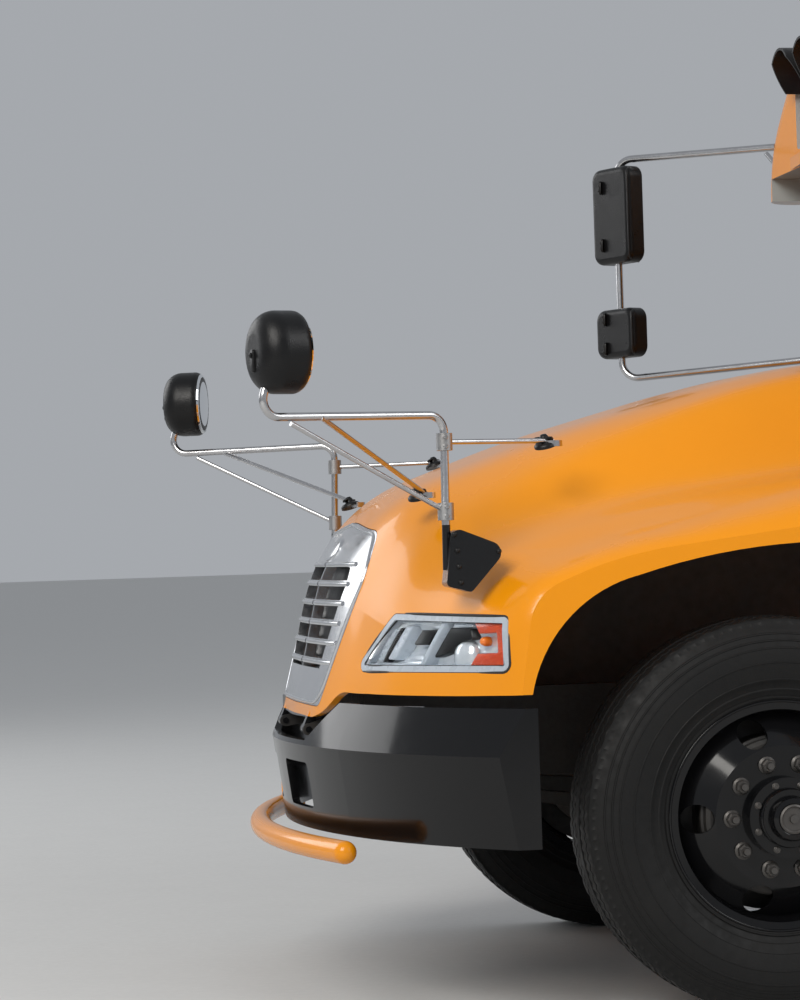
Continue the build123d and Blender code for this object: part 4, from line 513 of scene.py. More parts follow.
def crown(y):
    return TYRE_R - 4.5 * (y / TREAD_HALF) ** 2


def tyre_section():
    """A tyre's section from bead to bead, as (radius, height)."""
    half = TYRE_WALL + [(crown(TREAD_HALF) - 3.5, 109.2), (crown(TREAD_HALF), TREAD_HALF)]
    for middle in reversed(GROOVES):
        outer = middle + GROOVE_HALF
        inner = middle - GROOVE_HALF
        floor = crown(middle) - GROOVE_DEEP
        half += [(crown(outer), outer), (floor, outer - 2)]
        half += [(floor, inner + 2), (crown(inner), inner)]
    return half + [(r, -h) for r, h in reversed(half)]


def notch(i, r, h):
    """Notches in the shoulders and nicks in the ribs, step by step."""
    off = abs(h)
    if i % 2 == 0 and 110.5 < off < 117.5 and r > 499:
        return r - 1.5, copysign(off - 4.5, h)
    if i % 2 == 0 and r > 519.5 and 20 < off < 100:
        return r - 3.5, h
    if i % 4 == 0 and r > 518.5 and off > 105.5:
        return r - 3, h
    return r, h


def tyre(name, body, x, middles):
    """Tyres with ringed walls, notched shoulders and five ribs with nicked edges."""
    bm = bmesh.new()
    for middle in middles:
        place = moved((x, middle, AXLE_Z)) @ Matrix.Rotation(-pi / 2, 4, "X")
        lathe(bm, tyre_section(), TREAD_STEPS, place, shift=notch)
    settle(name, bm, RUBBER, body, 38, (body.rsplit("_", 1)[0] + "_tyre",))


def wheel_trim(name, body, side, x, reach, outward, hub, caps):
    """Nuts, hub bolts and cap, valve, drum and rim edge of the outer wheel at y = reach."""

    def place_at(off):
        return frame_at((x, side * off, AXLE_Z), (0, side, 0))

    studs = reach + 0.14 * outward
    face = place_at(studs)
    bm = bmesh.new()
    for i in range(STUDS):
        turn = Matrix.Rotation(2 * pi * i / STUDS, 4, "Z")
        spot = face @ turn @ moved((STUD_RING, 0, 0))
        hex_bolt(bm, spot, 33, 30, 1.42)
        disc(bm, spot, [(10.5, 20), (10.5, 40), (8.8, 43), (2, 43)], 14)
    for point in circle(place_at(hub), HUB_RING, -0.0005, HUB_BOLTS, radians(22)):
        hex_bolt(bm, frame_at(point, (0, side, 0)), 15, 10, 1.3)
    root = face @ Vector((0.215, 0.04, 0.02 * outward - 0.03))
    tip = face @ Vector((0.245, 0.045, 0.015))
    tube(bm, [root, root.lerp(tip, 0.5) + Vector((0, side * 0.01, 0)), tip], 4.5, 8)
    settle(name + "_nuts", bm, DARK_STEEL, body, 30)

    for ending, mat, steps, profile in caps:
        bm = bmesh.new()
        disc(bm, place_at(hub), profile, steps)
        settle(name + ending, bm, mat, body, 30)

    bm = bmesh.new()
    lathe(bm, DRUM, 64, place_at(studs - 0.19 + 0.025 * outward), closed=True)
    settle(name + "_drum", bm, CHASSIS, body, 35)

    bm = bmesh.new()
    rim = frame_at((x, side * (reach + 0.1105), AXLE_Z), (0, -1, 0))
    tube(bm, circle(rim, RIM_RING, 0, 96), 4.2, 8, closed=True)
    settle(name + "_rim_edge", bm, BLACK, body)


for word, side in SIDES:
    tyre("tyre_front_" + word, f"front_{word}_wheel", AXLE, [side * FRONT_Y])
for word, side in SIDES:
    tyre("tyres_rear_" + word, f"rear_{word}_wheels", REAR, [side * y for y in REAR_Y])
for word, side in SIDES:
    wheel_trim("wheel_front_" + word, f"front_{word}_wheel", side, AXLE, FRONT_Y, 1, 1.193,
               OIL_CAP)
    wheel_trim("wheels_rear_" + word, f"rear_{word}_wheels", side, REAR, REAR_Y[1], -1, 1.038,
               PLAIN_CAP)


# Nose: lamps and grille, in millimetres on the front's Y and Z


def front_hit(tree, y, z):
    return tree.ray_cast(Vector((6, y * MM, z * MM)), Vector((-1, 0, 0)))[0]


def surface_fit(tree, outline, inset):
    """Smooth x(y, z), in metres, through a surface just inside an outline."""

    def powers(y, z):
        return 1, y, z, y * y, y * z, z * z, y ** 3, y ** 4

    rows = []
    found = []
    for (y0, z0), (y1, z1) in zip(outline, outline[1:] + outline[:1]):
        length = hypot(y1 - y0, z1 - z0)
        for k in range(10):
            t = 0.1 + 0.8 * k / 9
            y = y0 + (y1 - y0) * t + inset * (z1 - z0) / length
            z = z0 + (z1 - z0) * t - inset * (y1 - y0) / length
            hit = front_hit(tree, y, z)
            if hit is not None and hit.x > AXLE + 0.3:
                rows.append(powers(y * MM, z * MM))
                found.append(hit.x)
    terms = np.linalg.lstsq(np.array(rows), np.array(found), rcond=None)[0]
    return lambda y, z: float(np.dot(powers(y, z), terms))


LAMP_OUTLINE = [(540, 924), (717, 1085), (1150, 1076), (1168, 930)]
lamp_x = surface_fit(tree_of("headlamps"), LAMP_OUTLINE, 9)


def inset_ring(ring, amount):
    """A closed ring moved inwards; it runs clockwise with Y right and Z up."""
    ring = [Vector(p) for p in ring]
    inner = []
    for before, here, after in zip(ring[-1:] + ring[:-1], ring, ring[1:] + ring[:1]):
        both = (here - before).normalized() + (after - here).normalized()
        pull = amount / 2 / max(0.35, both.length_squared / 4)
        inner.append((here.x + both.y * pull, here.y - both.x * pull))
    return inner


def round_ring(corners, radius, steps=5, edge=30):
    """Corners rounded by arcs, with points along the straight runs."""
    around = [Vector((*corner, 0)) for corner in corners[-1:] + corners + corners[:1]]
    arcs = [[p.xy for p in bent(trio, radius, steps)[1:-1]]
            for trio in zip(around, around[1:], around[2:])]
    ring = []
    for arc, following in zip(arcs, arcs[1:] + arcs[:1]):
        start = arc[-1]
        end = following[0]
        pieces = int((end - start).length / edge)
        ring += arc + [start.lerp(end, k / pieces) for k in range(1, pieces)]
    return ring


def seal(bm, box, bend, edge, radius, spot, steps=5, sides=8):
    """A round seal on a rectangle; spot(a, b) gives its places in metres."""
    a0, a1, b0, b1 = box
    ring = round_ring([(a0, b0), (a0, b1), (a1, b1), (a1, b0)], bend, steps, edge)
    tube(bm, [spot(a * MM, b * MM) for a, b in ring], radius, sides, closed=True)


def on_lamp(side, y, z, deep):
    return Vector((lamp_x(y * MM, z * MM) - deep * MM, side * y * MM, z * MM))


def lamp_slab(bm, side, corners, front, back, bevel):
    """A piece inside the lamp, its front face at a depth behind the lens."""
    ring = round_ring(corners, 4, 3)
    levels = ((0, back), (0, front + bevel), (0.4 * bevel, front + 0.3 * bevel), (bevel, front))
    skin(bm, [[on_lamp(side, y, z, deep) for y, z in inset_ring(ring, inset)]
              for inset, deep in levels], top=True)


def lamp_grid(bm, side, corners, cols, rows, deep):
    """A pressed sheet across corners (foot, top, top, foot); deep(s, t) gives its depths."""
    low_in, high_in, high_out, low_out = (Vector(c) for c in corners)
    rings = []
    for i in range(cols + 1):
        s = i / cols
        foot = low_in.lerp(low_out, s)
        top = high_in.lerp(high_out, s)
        rings.append([on_lamp(side, *foot.lerp(top, j / rows), deep(s, j / rows))
                      for j in range(rows + 1)])
    skin(bm, rings, closed_ring=False)


def hollow_dish(s, t):
    """Depth of the inner reflector: a dish with fine steps up its outer part."""
    dish = 20 + 34 * (1 - (2 * s - 1) ** 2) * (1 - (2 * t - 1) ** 2)
    return dish + (2.5 * sin(14 * pi * t) if s > 0.62 else 0)


def bulb_dish(s, t):
    """Depth of the outer reflector: a facetted bowl, low at the foot."""
    bowl = 22 + 36 * cos((s - 0.45) * 2.2) * (1 - 0.6 * t)
    return bowl + 2.2 * sin(10 * pi * s) * sin(8 * pi * t)


LENS_LEVELS = ((1, 12), (1, 4), (0.97, 2.2), (0.8, 1.8), (0.6, 1.5), (0.4, 1.5), (0.2, 1.5))
LAMP_SLABS = (
    # Piece, material, then the corners, front depth, back depth and bevel of each slab
    ("trim", BEZEL, (
        ([(834, 934), (906, 1072), (922, 1072), (852, 934)], 10, 50, 2),
        ([(566, 936), (579, 948), (840, 950), (838, 936)], 12, 50, 2),
        ([(724, 1060), (734, 1074), (912, 1073), (906, 1061)], 12, 50, 2),
        ([(628, 958), (684, 1042), (706, 1042), (660, 956)], 16, 50, 3),
        ([(686, 960), (746, 1050), (776, 1050), (724, 958)], 16, 50, 3),
        ([(938, 1048), (944, 1058), (1014, 1058), (1010, 1048)], 14, 50, 2),
    )),
    ("shades", SATIN, (
        ([(668, 952), (728, 1046), (739, 1046), (681, 952)], 13, 50, 2),
        ([(786, 1000), (812, 1040), (868, 1040), (846, 1000)], 20, 50, 2),
        ([(874, 964), (922, 1046), (996, 1044), (1010, 1016), (964, 1008), (920, 978)], 20, 50, 2),
    )),
    ("marker", ORANGE, (
        ([(1026, 943), (1050, 979), (1118, 981), (1106, 1034), (1048, 1030), (1022, 1062),
          (1136, 1062), (1154, 946)], 8, 40, 3),
    )),
)
LAMP_KNOBS = (
    # Piece, material, y, z and depth, lean upwards, steps, profile
    ("bulb", AMBER, (1036, 1010, 46), 0, 20, [
        (9, -6), (12.5, 0), (13.5, 8), (12.5, 16), (9, 23), (4, 26), (1, 26.5)]),
    ("bowl", REFLECTOR, (955, 972, 52), 0.2, 28, [
        (52, -4), (51, 4), (46, 13), (36, 21), (22, 27), (10, 29), (1, 29.2)]),
)
for word, side in SIDES:
    lamp = f"headlamp_{word}_"
    rim = round_ring(LAMP_OUTLINE, 22)

    # Seal round the lamp, and the dark line at the lens's edge
    bm = bmesh.new()
    for inset, radius in ((0.5, 4.2), (17.5, 2.2)):
        run = [on_lamp(side, y, z, 3.5) for y, z in inset_ring(rim, inset)]
        tube(bm, run, radius, 8, closed=True)
    settle(lamp + "seal", bm, GASKET, "nose")

    # Lens with a folded edge
    opening = inset_ring(rim, 18.5)
    mid_y, mid_z = (sum(values) / len(opening) for values in zip(*opening))
    bm = bmesh.new()
    skin(bm, [[on_lamp(side, mid_y + (y - mid_y) * grow, mid_z + (z - mid_z) * grow, deep)
               for y, z in opening] for grow, deep in LENS_LEVELS], top=True)
    settle(lamp + "lens", bm, LENS, "nose", 50)

    bm = bmesh.new()
    lamp_grid(bm, side, [(568, 938), (730, 1068), (912, 1068), (838, 938)], 30, 26, hollow_dish)
    lamp_grid(bm, side, [(846, 938), (925, 1068), (1142, 1066), (1158, 942)], 44, 30, bulb_dish)
    settle(lamp + "reflectors", bm, REFLECTOR, "nose")
    for part, mat, slabs in LAMP_SLABS:
        bm = bmesh.new()
        for slab in slabs:
            lamp_slab(bm, side, *slab)
        settle(lamp + part, bm, mat, "nose", 40)
    for part, mat, spot, lean, steps, profile in LAMP_KNOBS:
        bm = bmesh.new()
        disc(bm, frame_at(on_lamp(side, *spot), (1, side * 0.35, lean)), profile, steps)
        settle(lamp + part, bm, mat, "nose")


# Grille: rolled frame edge, rounded bars, a dome above and a screen behind
grille_tree = tree_of("grille")


def on_grille(y, z, deep):
    return front_hit(grille_tree, y, z) - Vector((deep * MM, 0, 0))


bm = bmesh.new()
edge_ring = round_ring([(-357, 828), (-505, 1185), (-421, 1306), (0, 1339), (421, 1306),
                        (505, 1185), (357, 828)], 90, 7)
tube(bm, [on_grille(0.985 * y, 1080 + 0.985 * (z - 1080), 1) for y, z in edge_ring], 6.5, 8,
     closed=True)
for k in range(6):
    z = 942.5 + 55 * k
    half = min(372 + (z - 850) * 0.3, 400)
    for low, high in ((-1, -0.03), (0.03, 1)):
        hits = [front_hit(grille_tree, half * (low + (high - low) * i / 24), z + 3)
                for i in range(25)]
        run = [hit for hit in hits if hit is not None and hit.x > AXLE + 0.93]
        tube(bm, run, 7.8, 8, aim=(1, 0, 0.5), squash=lambda i: (0.8, 1))
dome = frame_at(on_grille(0, 1262, 4), (1, 0, 0.62)) @ Matrix.Scale(1.9, 4, (1, 0, 0))
disc(bm, dome, [(43, -6), (43, 3), (41, 6), (36, 9), (24, 12), (10, 13.5), (1, 13.8)], 40)
settle("grille_bright_trim", bm, CHROME, "nose", 50)

# Insect screen, bowed and pressed into fine ribs
bm = bmesh.new()
rings = []
for i in range(73):
    y = 355 * (2 * i / 72 - 1)
    deep = 62 + 140 * (y * MM) ** 2
    ring = [on_grille(0, 862 + 352 * j / 70, deep - 2.5 * ((i + j) % 2)) for j in range(71)]
    rings.append([p + Vector((0, y * MM, 0)) for p in ring])
skin(bm, rings, closed_ring=False)
settle("grille_screen", bm, SATIN, "nose", 20)


# Crossview mirrors: screws and nuts of the arms, clamps, glasses, brackets
arms_tree = tree_of("crossview_arms")
heads_tree = tree_of("crossview_heads")
for word, side in SIDES:
    mirror = f"crossview_{word}_"
    bm = bmesh.new()
    for u, z in ((0.842, 1.292), (0.835, 1.25), (0.832, 1.208), (0.828, 1.166), (0.725, 1.245)):
        rivet(bm, on(arms_tree, (AXLE + u, side * 1.3, z), (0, -side, 0)), 8, 0.5, 12)
    for u, y, z in ((0.836, 0.639, 1.404), (0.523, 0.854, 1.53)):
        foot = on(arms_tree, (AXLE + u + 0.02, side * y, z + 0.2), (0, 0, -1))
        base = frame_at(foot.translation - Vector((0, 0, 0.012)), (0.25, side * 0.25, 1))
        disc(bm, base, [(31, -4), (31, 3), (26, 8), (14, 12), (12, 24), (8, 30), (1, 31)], 28)
        wing = ((-0.026, 0, 0.018), (0, 0, 0.02), (0.026, 0, 0.018))
        tube(bm, [base @ Vector(p) for p in wing], 5, 8, squash=lambda i: (1.5, 0.8))
    settle(mirror + "fasteners", bm, SATIN, "nose", 50)

    # Split clamps on the posts
    bm = bmesh.new()
    for u, y, z in ((0.852, 1.022, 1.353), (0.849, 1.015, 1.536)):
        post = Vector((AXLE + u, side * y, z))
        for dz in (-0.012, 0.012):
            spot = frame_at(post, (0, side, 0)) @ moved((0, dz, 0.019))
            hex_bolt(bm, spot, 11, 8)
        tube(bm, [post + Vector((0, 0, dz)) for dz in (-0.023, -0.0225, 0.0225, 0.023)], 21.5, 24,
             squash=lambda i: (0.93, 0.93) if i in (0, 3) else (1, 1))
    settle(mirror + "clamps", bm, ZINC, "nose", 40)

    # Glass on the rear of the head, and the arm's bracket on the shell
    bm = bmesh.new()
    turn = radians(18)
    back = Vector((-cos(turn), -side * sin(turn), 0))
    hub = Vector((AXLE + 1.314, side * 1.247, 1.765))
    face = frame_at(hub + back * 0.06, back) @ Matrix.Diagonal((0.95, 1.06, 1, 1))
    disc(bm, face, [(93.5, -2), (90, 3), (84, 3.5), (60, 6), (30, 7.5), (1, 8)], 48)
    settle(mirror + "glass", bm, MIRROR, "nose", 50)
    bm = bmesh.new()
    place = on(heads_tree, hub - back * 0.4 + Vector((0, 0, -0.02)), back)
    block(bm, place @ moved((0, -0.002, -0.002)), 18, 58, 7, 7, 2)
    hex_bolt(bm, place @ moved((0, 0.012, 0.004)), 12, 7)
    settle(mirror + "bracket", bm, SATIN, "nose", 45)


# Cab: windshield seals, recessed panel over the glass, lamps and mirrors


def bow(radius, y):
    return radius - sqrt(radius * radius - y * y)


def on_windshield(y, z):
    """A place just ahead of the glass, which bows most at its foot."""
    t = (z - 1.89) / 0.58
    x = (1 - t) * (-0.625 - bow(3.083, y)) + t * (-0.706 - bow(5.74, y))
    return AXLE + x + 0.003, y, z


bm = bmesh.new()
for side in (-1, 1):
    seal(bm, (side * 20, side * 1080, 1896, 2464), 45, 60, 11, on_windshield)
settle("windshield_seals", bm, GASKET)

# Panel with a blank sign box, rivets and a trimmed edge in the recess of the cap
RECESS_X = AXLE - 0.745
half_arch = [(0.772, 2.54), (0.772, 2.88), (0.64, 2.948), (0.33, 2.986)]
arch = [(-y, z) for y, z in half_arch] + [(0, 2.992)] + half_arch[::-1]
bm = bmesh.new()
for grow, x in ((1, 0), (1, 0.0035), (0.994, 0.0045)):
    ring = [bm.verts.new((RECESS_X + x, y * grow, 2.77 + (z - 2.77) * grow)) for y, z in arch]
    if grow < 1:
        bm.faces.new(ring)
settle("cap_recess_panel", bm, PANEL, edge=40)
bm = bmesh.new()
block(bm, frame_at((RECESS_X + 0.004, 0, 2.755), (1, 0, 0)), 600, 205, 16, 20, 4)
settle("cap_sign_box", bm, SATIN, edge=40)
bm = bmesh.new()
seal(bm, (-302, 302, 2651, 2859), 20, 200, 7, lambda y, z: (RECESS_X + 0.019, y, z), 4)
settle("cap_sign_frame", bm, GOLD, edge=50)
bm = bmesh.new()
spots = [(-0.744 + 0.062 * k, 2.556) for k in range(25)]
spots += [(side * 0.752, 2.6 + 0.052 * k) for side in (-1, 1) for k in range(6)]
for y, z in spots:
    rivet(bm, frame_at((RECESS_X + 0.004, y, z), (1, 0, 0)), 6, 0.4, 8)
settle("cap_panel_rivets", bm, ZINC)

# Ribbed lens and ring of each round lamp: x, y, z, radius, way it faces, material
LAMP_FACES = (
    (AXLE - 0.715, 0.66, 2.745, 88, 1, RED), (AXLE - 0.715, 0.43, 2.745, 88, 1, AMBER),
    (TAIL - 0.03, 0.8, 2.56, 88, -1, RED), (TAIL - 0.03, 0.57, 2.56, 88, -1, AMBER),
    (TAIL - 0.03, 0.86, 1.25, 85, -1, RED), (TAIL - 0.03, 0.86, 1.48, 85, -1, RED),
)
LENS_STEPS = 14
lamps = tree_of("red_lamps", "amber_lamps")
for index, (x, y, z, radius, way, mat) in enumerate(LAMP_FACES):
    for word, side in SIDES:
        place = on(lamps, (x + 0.4 * way, side * y, z), (-way, 0, 0))
        spot = frame_at(place.translation, (way, 0, 0))
        profile = [(radius * 0.985, -12), (radius * 0.985, 1.5)]
        for k in range(LENS_STEPS):
            reach = radius * 0.96 * (1 - k / LENS_STEPS)
            dome = 10 * (1 - (reach / radius) ** 2)
            profile += [(reach, 1.5 + dome), (reach - 2.8, 2.8 + dome)]
        bm = bmesh.new()
        disc(bm, spot, profile + [(1, 12.5)], 36)
        settle(f"lamp_lens_{index}_{word}", bm, mat, edge=25)
        bm = bmesh.new()
        tube(bm, circle(spot, 1.03 * radius * MM, -0.004, 48), 5.5, 8, closed=True)
        settle(f"lamp_ring_{index}_{word}", bm, SATIN)

# Mirror glasses in their shells, and the clamps that hold the shells on the frames
shells = tree_of("mirror_heads")
for name, u, y, z, high, rise in (
    ("right_flat", -0.25, -1.5, 2.404, 337, 2), ("right_round", -0.25, -1.5, 1.991, 172, 10),
    ("left_flat", -0.85, 1.5, 2.245, 310, 2), ("left_round", -0.85, 1.5, 1.95, 172, 10),
):
    turn = radians(25)
    back = Vector((-cos(turn), copysign(sin(turn), -y), 0))
    centre = Vector((AXLE + u, y, z))
    place = on(shells, centre + back * 0.5, -back)
    spot = frame_at(place.translation - back * 0.0005, back)
    rings = []
    for grow in (1, 0.985, 0.9, 0.7, 0.5, 0.3, 0.1):
        lift = 2 + rise * (1 - grow * grow) if grow < 1 else 0
        flat = rounded(178 * grow, (high - 30) * grow, 26 * grow, 5)
        rings.append([spot @ (MM * Vector((px, pz, lift))) for px, pz in flat])
    bm = bmesh.new()
    skin(bm, rings, top=True)
    settle("mirror_glass_" + name, bm, MIRROR, edge=50)
    bm = bmesh.new()
    rim = [spot @ (MM * Vector((px, pz, 2))) for px, pz in rounded(186, high - 22, 30)]
    tube(bm, rim, 4, 8, closed=True)
    front = on(shells, centre - back * 0.5, back).translation + back * 0.001
    for dz in (-0.3 * high * MM, 0.3 * high * MM):
        seat = frame_at(front + Vector((0, 0, dz)), -back)
        block(bm, seat, 32, 46, 8, 10, 2)
        for px in (-0.009, 0.009):
            hex_bolt(bm, seat @ moved((0, px, 0.007)), 9, 6)
    settle("mirror_trim_" + name, bm, SATIN, edge=45)


# Body: rivets, drip rails and stripes


def side_ray(x, side, z):
    """A ray at the body's side: where it starts and its way."""
    return (x, side * 1.6, z), (0, -side, 0)


def arch_rays(x, z, half, step):
    """Rays at the roof over an arch, half of it in degrees to each side."""
    rays = []
    for turn in range(-half, half + 1, step):
        way = Vector((0, sin(radians(turn)), cos(radians(turn))))
        rays.append((Vector((x, 0, z)) + way * 2.2, -way))
    return rays


def rivets(bm, tree, rays, radius, rise, sides, kept=lambda spot: True):
    """Rivet heads where the rays meet a surface."""
    for start, way in rays:
        place = on(tree, start, way)
        if place is not None and kept(place.translation):
            rivet(bm, place, radius, rise, sides)


shell = tree_of("roof", "left_wall", "right_wall", "front_cap", "cowl")
bm = bmesh.new()
for side in (-1, 1):
    for z, first in ((2.484, 0.06), (2.444, 0.09)):
        rivets(bm, shell, [side_ray(TAIL + first + 0.06 * k, side, z)
                           for k in range(int((SEAM - TAIL - 0.1) / 0.06))], 7, 0.42, 7)
settle("rivets_over_windows", bm, YELLOW)
bm = bmesh.new()
for x in (SEAM - 0.028, SEAM + 0.028):
    rivets(bm, shell, arch_rays(x, 2.25, 90, 5), 7, 0.42, 7, lambda spot: spot.z > 1.72)
    rivets(bm, shell, [side_ray(x, side, 1.75 + 0.055 * k) for side in (-1, 1)
                       for k in range(14)], 7, 0.42, 7)
for i in range(12):
    rays = arch_rays(SEAM - 0.95 - BAY * i, 2.1, 60, 4)
    rivets(bm, shell, rays, 6, 0.4, 6, lambda spot: spot.z > 2.5)
settle("rivets_on_bows", bm, ROOF)
bm = bmesh.new()
rays = [side_ray(TAIL + 0.25 + 0.2 * k, side, z) for side in (-1, 1)
        for z in (0.7, 0.985, 1.31, 1.66) for k in range(38)]
rivets(bm, tree_of("rub_rails"), rays, 6, 0.45, 7, lambda spot: abs(spot.y) > WALL)
settle("rail_rivets", bm, SATIN)

bm = bmesh.new()
for side in (-1, 1):
    run = []
    for k in range(60):
        x = TAIL + 0.08 + (SEAM - TAIL - 0.14) * k / 59
        spot = on(shell, *side_ray(x, side, 2.412)).translation
        run.append(spot + Vector((0, side * 0.004, 0)))
    tube(bm, run, 8, 8, squash=lambda i: (0.8, 1.2), aim=(0, 1, 0))
settle("drip_rails", bm, YELLOW)

# A tapered dark stripe along the cove, behind the cab
bm = bmesh.new()
for side in (-1, 1):
    rings = []
    for k in range(61):
        t = k / 60
        middle = 2.8 + 0.02 * sin(3.1 * t)
        half = 0.06 * (1 - t) ** 0.8 * min(1, (t + 0.02) * 9) + 0.004
        ring = []
        for m in range(-3, 4):
            place = on(shell, *side_ray(SEAM - 0.22 - 2.9 * t, side, middle + half * m / 3))
            ring.append(place @ Vector((0, 0, 0.0012)))
        rings.append(ring)
    skin(bm, rings, closed_ring=False)
settle("cove_stripes", bm, BLACK)


# Doors and windows: panes that are seen through, seals, handle and latches


def at_tail(off):
    return lambda y, z: (TAIL + off, y, z)


PANE = 0.019  # from a door's face in to the middle of its glass
for word in ("front", "rear"):
    glazed("entry_door_" + word, "entry_leaf_" + word, SATIN, 1, PANE - WALL)
glazed("rear_door", "emergency_door", YELLOW, 0, TAIL + PANE)
for word, x0, x1 in (("front", -1244, -1002), ("rear", -1628, -1386)):
    bm = bmesh.new()
    for z0, z1 in ((482, 1226), (1304, 2288)):
        seal(bm, (x0, x1, z0, z1), 42, 300, 6, lambda x, z: (AXLE + x, -WALL, z))
    settle("entry_seal_" + word, bm, GASKET, "entry_leaf_" + word)
bm = bmesh.new()
grip = ((0, 1.3), (0.022, 1.3), (0.022, 1.1), (0, 1.1))
tube(bm, bent([(AXLE - 1.27, -WALL - off, z) for off, z in grip], 0.01, 5), 7, 10)
settle("entry_pull_handle", bm, TUBE, "entry_leaf_front", 50)

bm = bmesh.new()
for z0, z1 in ((1082, 1532), (1632, 2272)):
    seal(bm, (-385, 385, z0, z1), 50, 300, 7, at_tail(0.001))
settle("rear_door_glass_seals", bm, GASKET, "emergency_door")
bm = bmesh.new()
seal(bm, (-476, 476, 990, 2366), 20, 300, 7, at_tail(0.004), 4)
settle("rear_door_edge_seal", bm, GASKET, "emergency_door")

bm = bmesh.new()
for side in (-1, 1):
    windows = [(x, 300, 1700) for x in BAYS]
    if side > 0:
        windows.append((AXLE - 1.235, 305, 1640))
    for middle, half, foot in windows:
        seal(bm, (-half, half, foot, 2360), 45, 400, 6,
             lambda x, z: (middle + x, side * WALL, z), 4, 6)
settle("window_seals", bm, GASKET, edge=70)
bm = bmesh.new()
for side in (-1, 1):
    for x in BAYS:
        for dx in (-0.2, 0.2):
            place = frame_at((x + dx, side * 1.163, 2.042), (0, -side, 0))
            block(bm, place, 36, 14, 10, 4, 2, 2)
settle("window_latches", bm, ZINC, edge=45)
bm = bmesh.new()
for side in (-1, 1):
    seal(bm, (side * 565, side * 985, 1750, 2310), 45, 300, 7, at_tail(0))
settle("rear_window_seals", bm, GASKET)

# Blank stop sign: pale border and two small lamps on both faces
sign_centre = Vector((AXLE - 1.973, 1.246, 1.48))
bm = bmesh.new()
for way in (-1, 1):
    rings = []
    for reach, off in ((0.234, 0.0095), (0.234, 0.0108), (0.222, 0.0108), (0.222, 0.0095)):
        flat = frame_at(sign_centre + Vector((0, way * off, 0)), (0, -1, 0))
        rings.append(circle(flat, reach, 0, 8, radians(22.5)))
    skin(bm, rings)
settle("stop_sign_border", bm, SIGN_WHITE, "stop_arm", 30)
bm = bmesh.new()
for dz in (-0.165, 0.165):
    for way in (-1, 1):
        place = frame_at(sign_centre + Vector((0, way * 0.0095, dz)), (0, way, 0))
        disc(bm, place, [(36, -1), (36, 3), (32, 6), (18, 9), (1, 10)], 28)
settle("stop_sign_lamps", bm, RED, "stop_arm", 40)


# Seats and driver's place

CUSHION_LEVELS = ((-1, 0.8), (-0.94, 0.93), (-0.7, 0.995), (-0.3, 1), (0.3, 1),
                  (0.7, 0.995), (0.94, 0.93), (1, 0.8))
LEAN = Matrix.Rotation(radians(82), 4, "Y")
SEAT_Y = 0.64


def crowned(name, width, height, deep, rise=0.016):
    """A stuffed block about its middle: flat back, crowned front, edges pulled in."""
    flat = rounded(width, height, min(width, height) * 0.16, 4)
    dense = []
    for p, q in zip(flat, flat[1:] + flat[:1]):
        length = hypot(q[0] - p[0], q[1] - p[1])
        pieces = max(1, int(length / (width / 14)))
        dense += [(p[0] + (q[0] - p[0]) * k / pieces, p[1] + (q[1] - p[1]) * k / pieces)
                  for k in range(pieces)]
    rings = []
    for level, grow in CUSHION_LEVELS:
        edge_x = 1 - (1 - grow) * deep / width
        edge_y = 1 - (1 - grow) * deep / height
        seam = 0.0025 * cos(level * pi) if abs(level) < 0.5 else 0
        ring = []
        for x, y in dense:
            pull_x = 1 - 0.01 * (1 - (2 * y / height) ** 2)
            pull_y = 1 - 0.014 * (1 - (2 * x / width) ** 2)
            x *= edge_x * pull_x
            ring.append(Vector((x - seam, y * edge_y * pull_y, level * deep / 2)))
        rings.append(ring)
    foot = [Vector((p.x * 0.5, p.y * 0.5, -deep / 2)) for p in rings[0]]
    last = rings[-1]
    for shrink in (0.86, 0.7, 0.5, 0.3, 0.12):
        high = deep / 2 + rise * (1 - shrink ** 2)
        rings.append([Vector((p.x * shrink, p.y * shrink, high)) for p in last])
    bm = bmesh.new()
    skin(bm, [foot] + rings, foot=True, top=True)
    return mesh_of(name, bm, VINYL)


def put(name, mesh, place, replaced=()):
    """Place an upholstered piece."""
    add_piece(name, mesh, "bus", replaced, place)


cushion_mesh = crowned("bench_cushion", 0.35, 0.985, 0.112)
back_mesh = crowned("bench_back", 0.655, 0.985, 0.072, 0.012)
for i, x in enumerate(BAYS):
    for word, side in SIDES:
        base = moved((x + 0.1, side * 0.65, 1.438))
        put(f"bench_cushion_{word}_{i}", cushion_mesh, base, ("seats",))
        base = moved((x - 0.175, side * 0.65, 1.74))
        put(f"bench_back_{word}_{i}", back_mesh, base @ LEAN, ("seats",))
driver_x = AXLE - 1.56
put("driver_cushion", crowned("driver_cushion", 0.474, 0.492, 0.128),
    moved((driver_x, SEAT_Y, 1.391)))
put("driver_backrest", crowned("driver_backrest", 0.712, 0.492, 0.1),
    moved((driver_x - 0.245, SEAT_Y, 1.72)) @ LEAN)

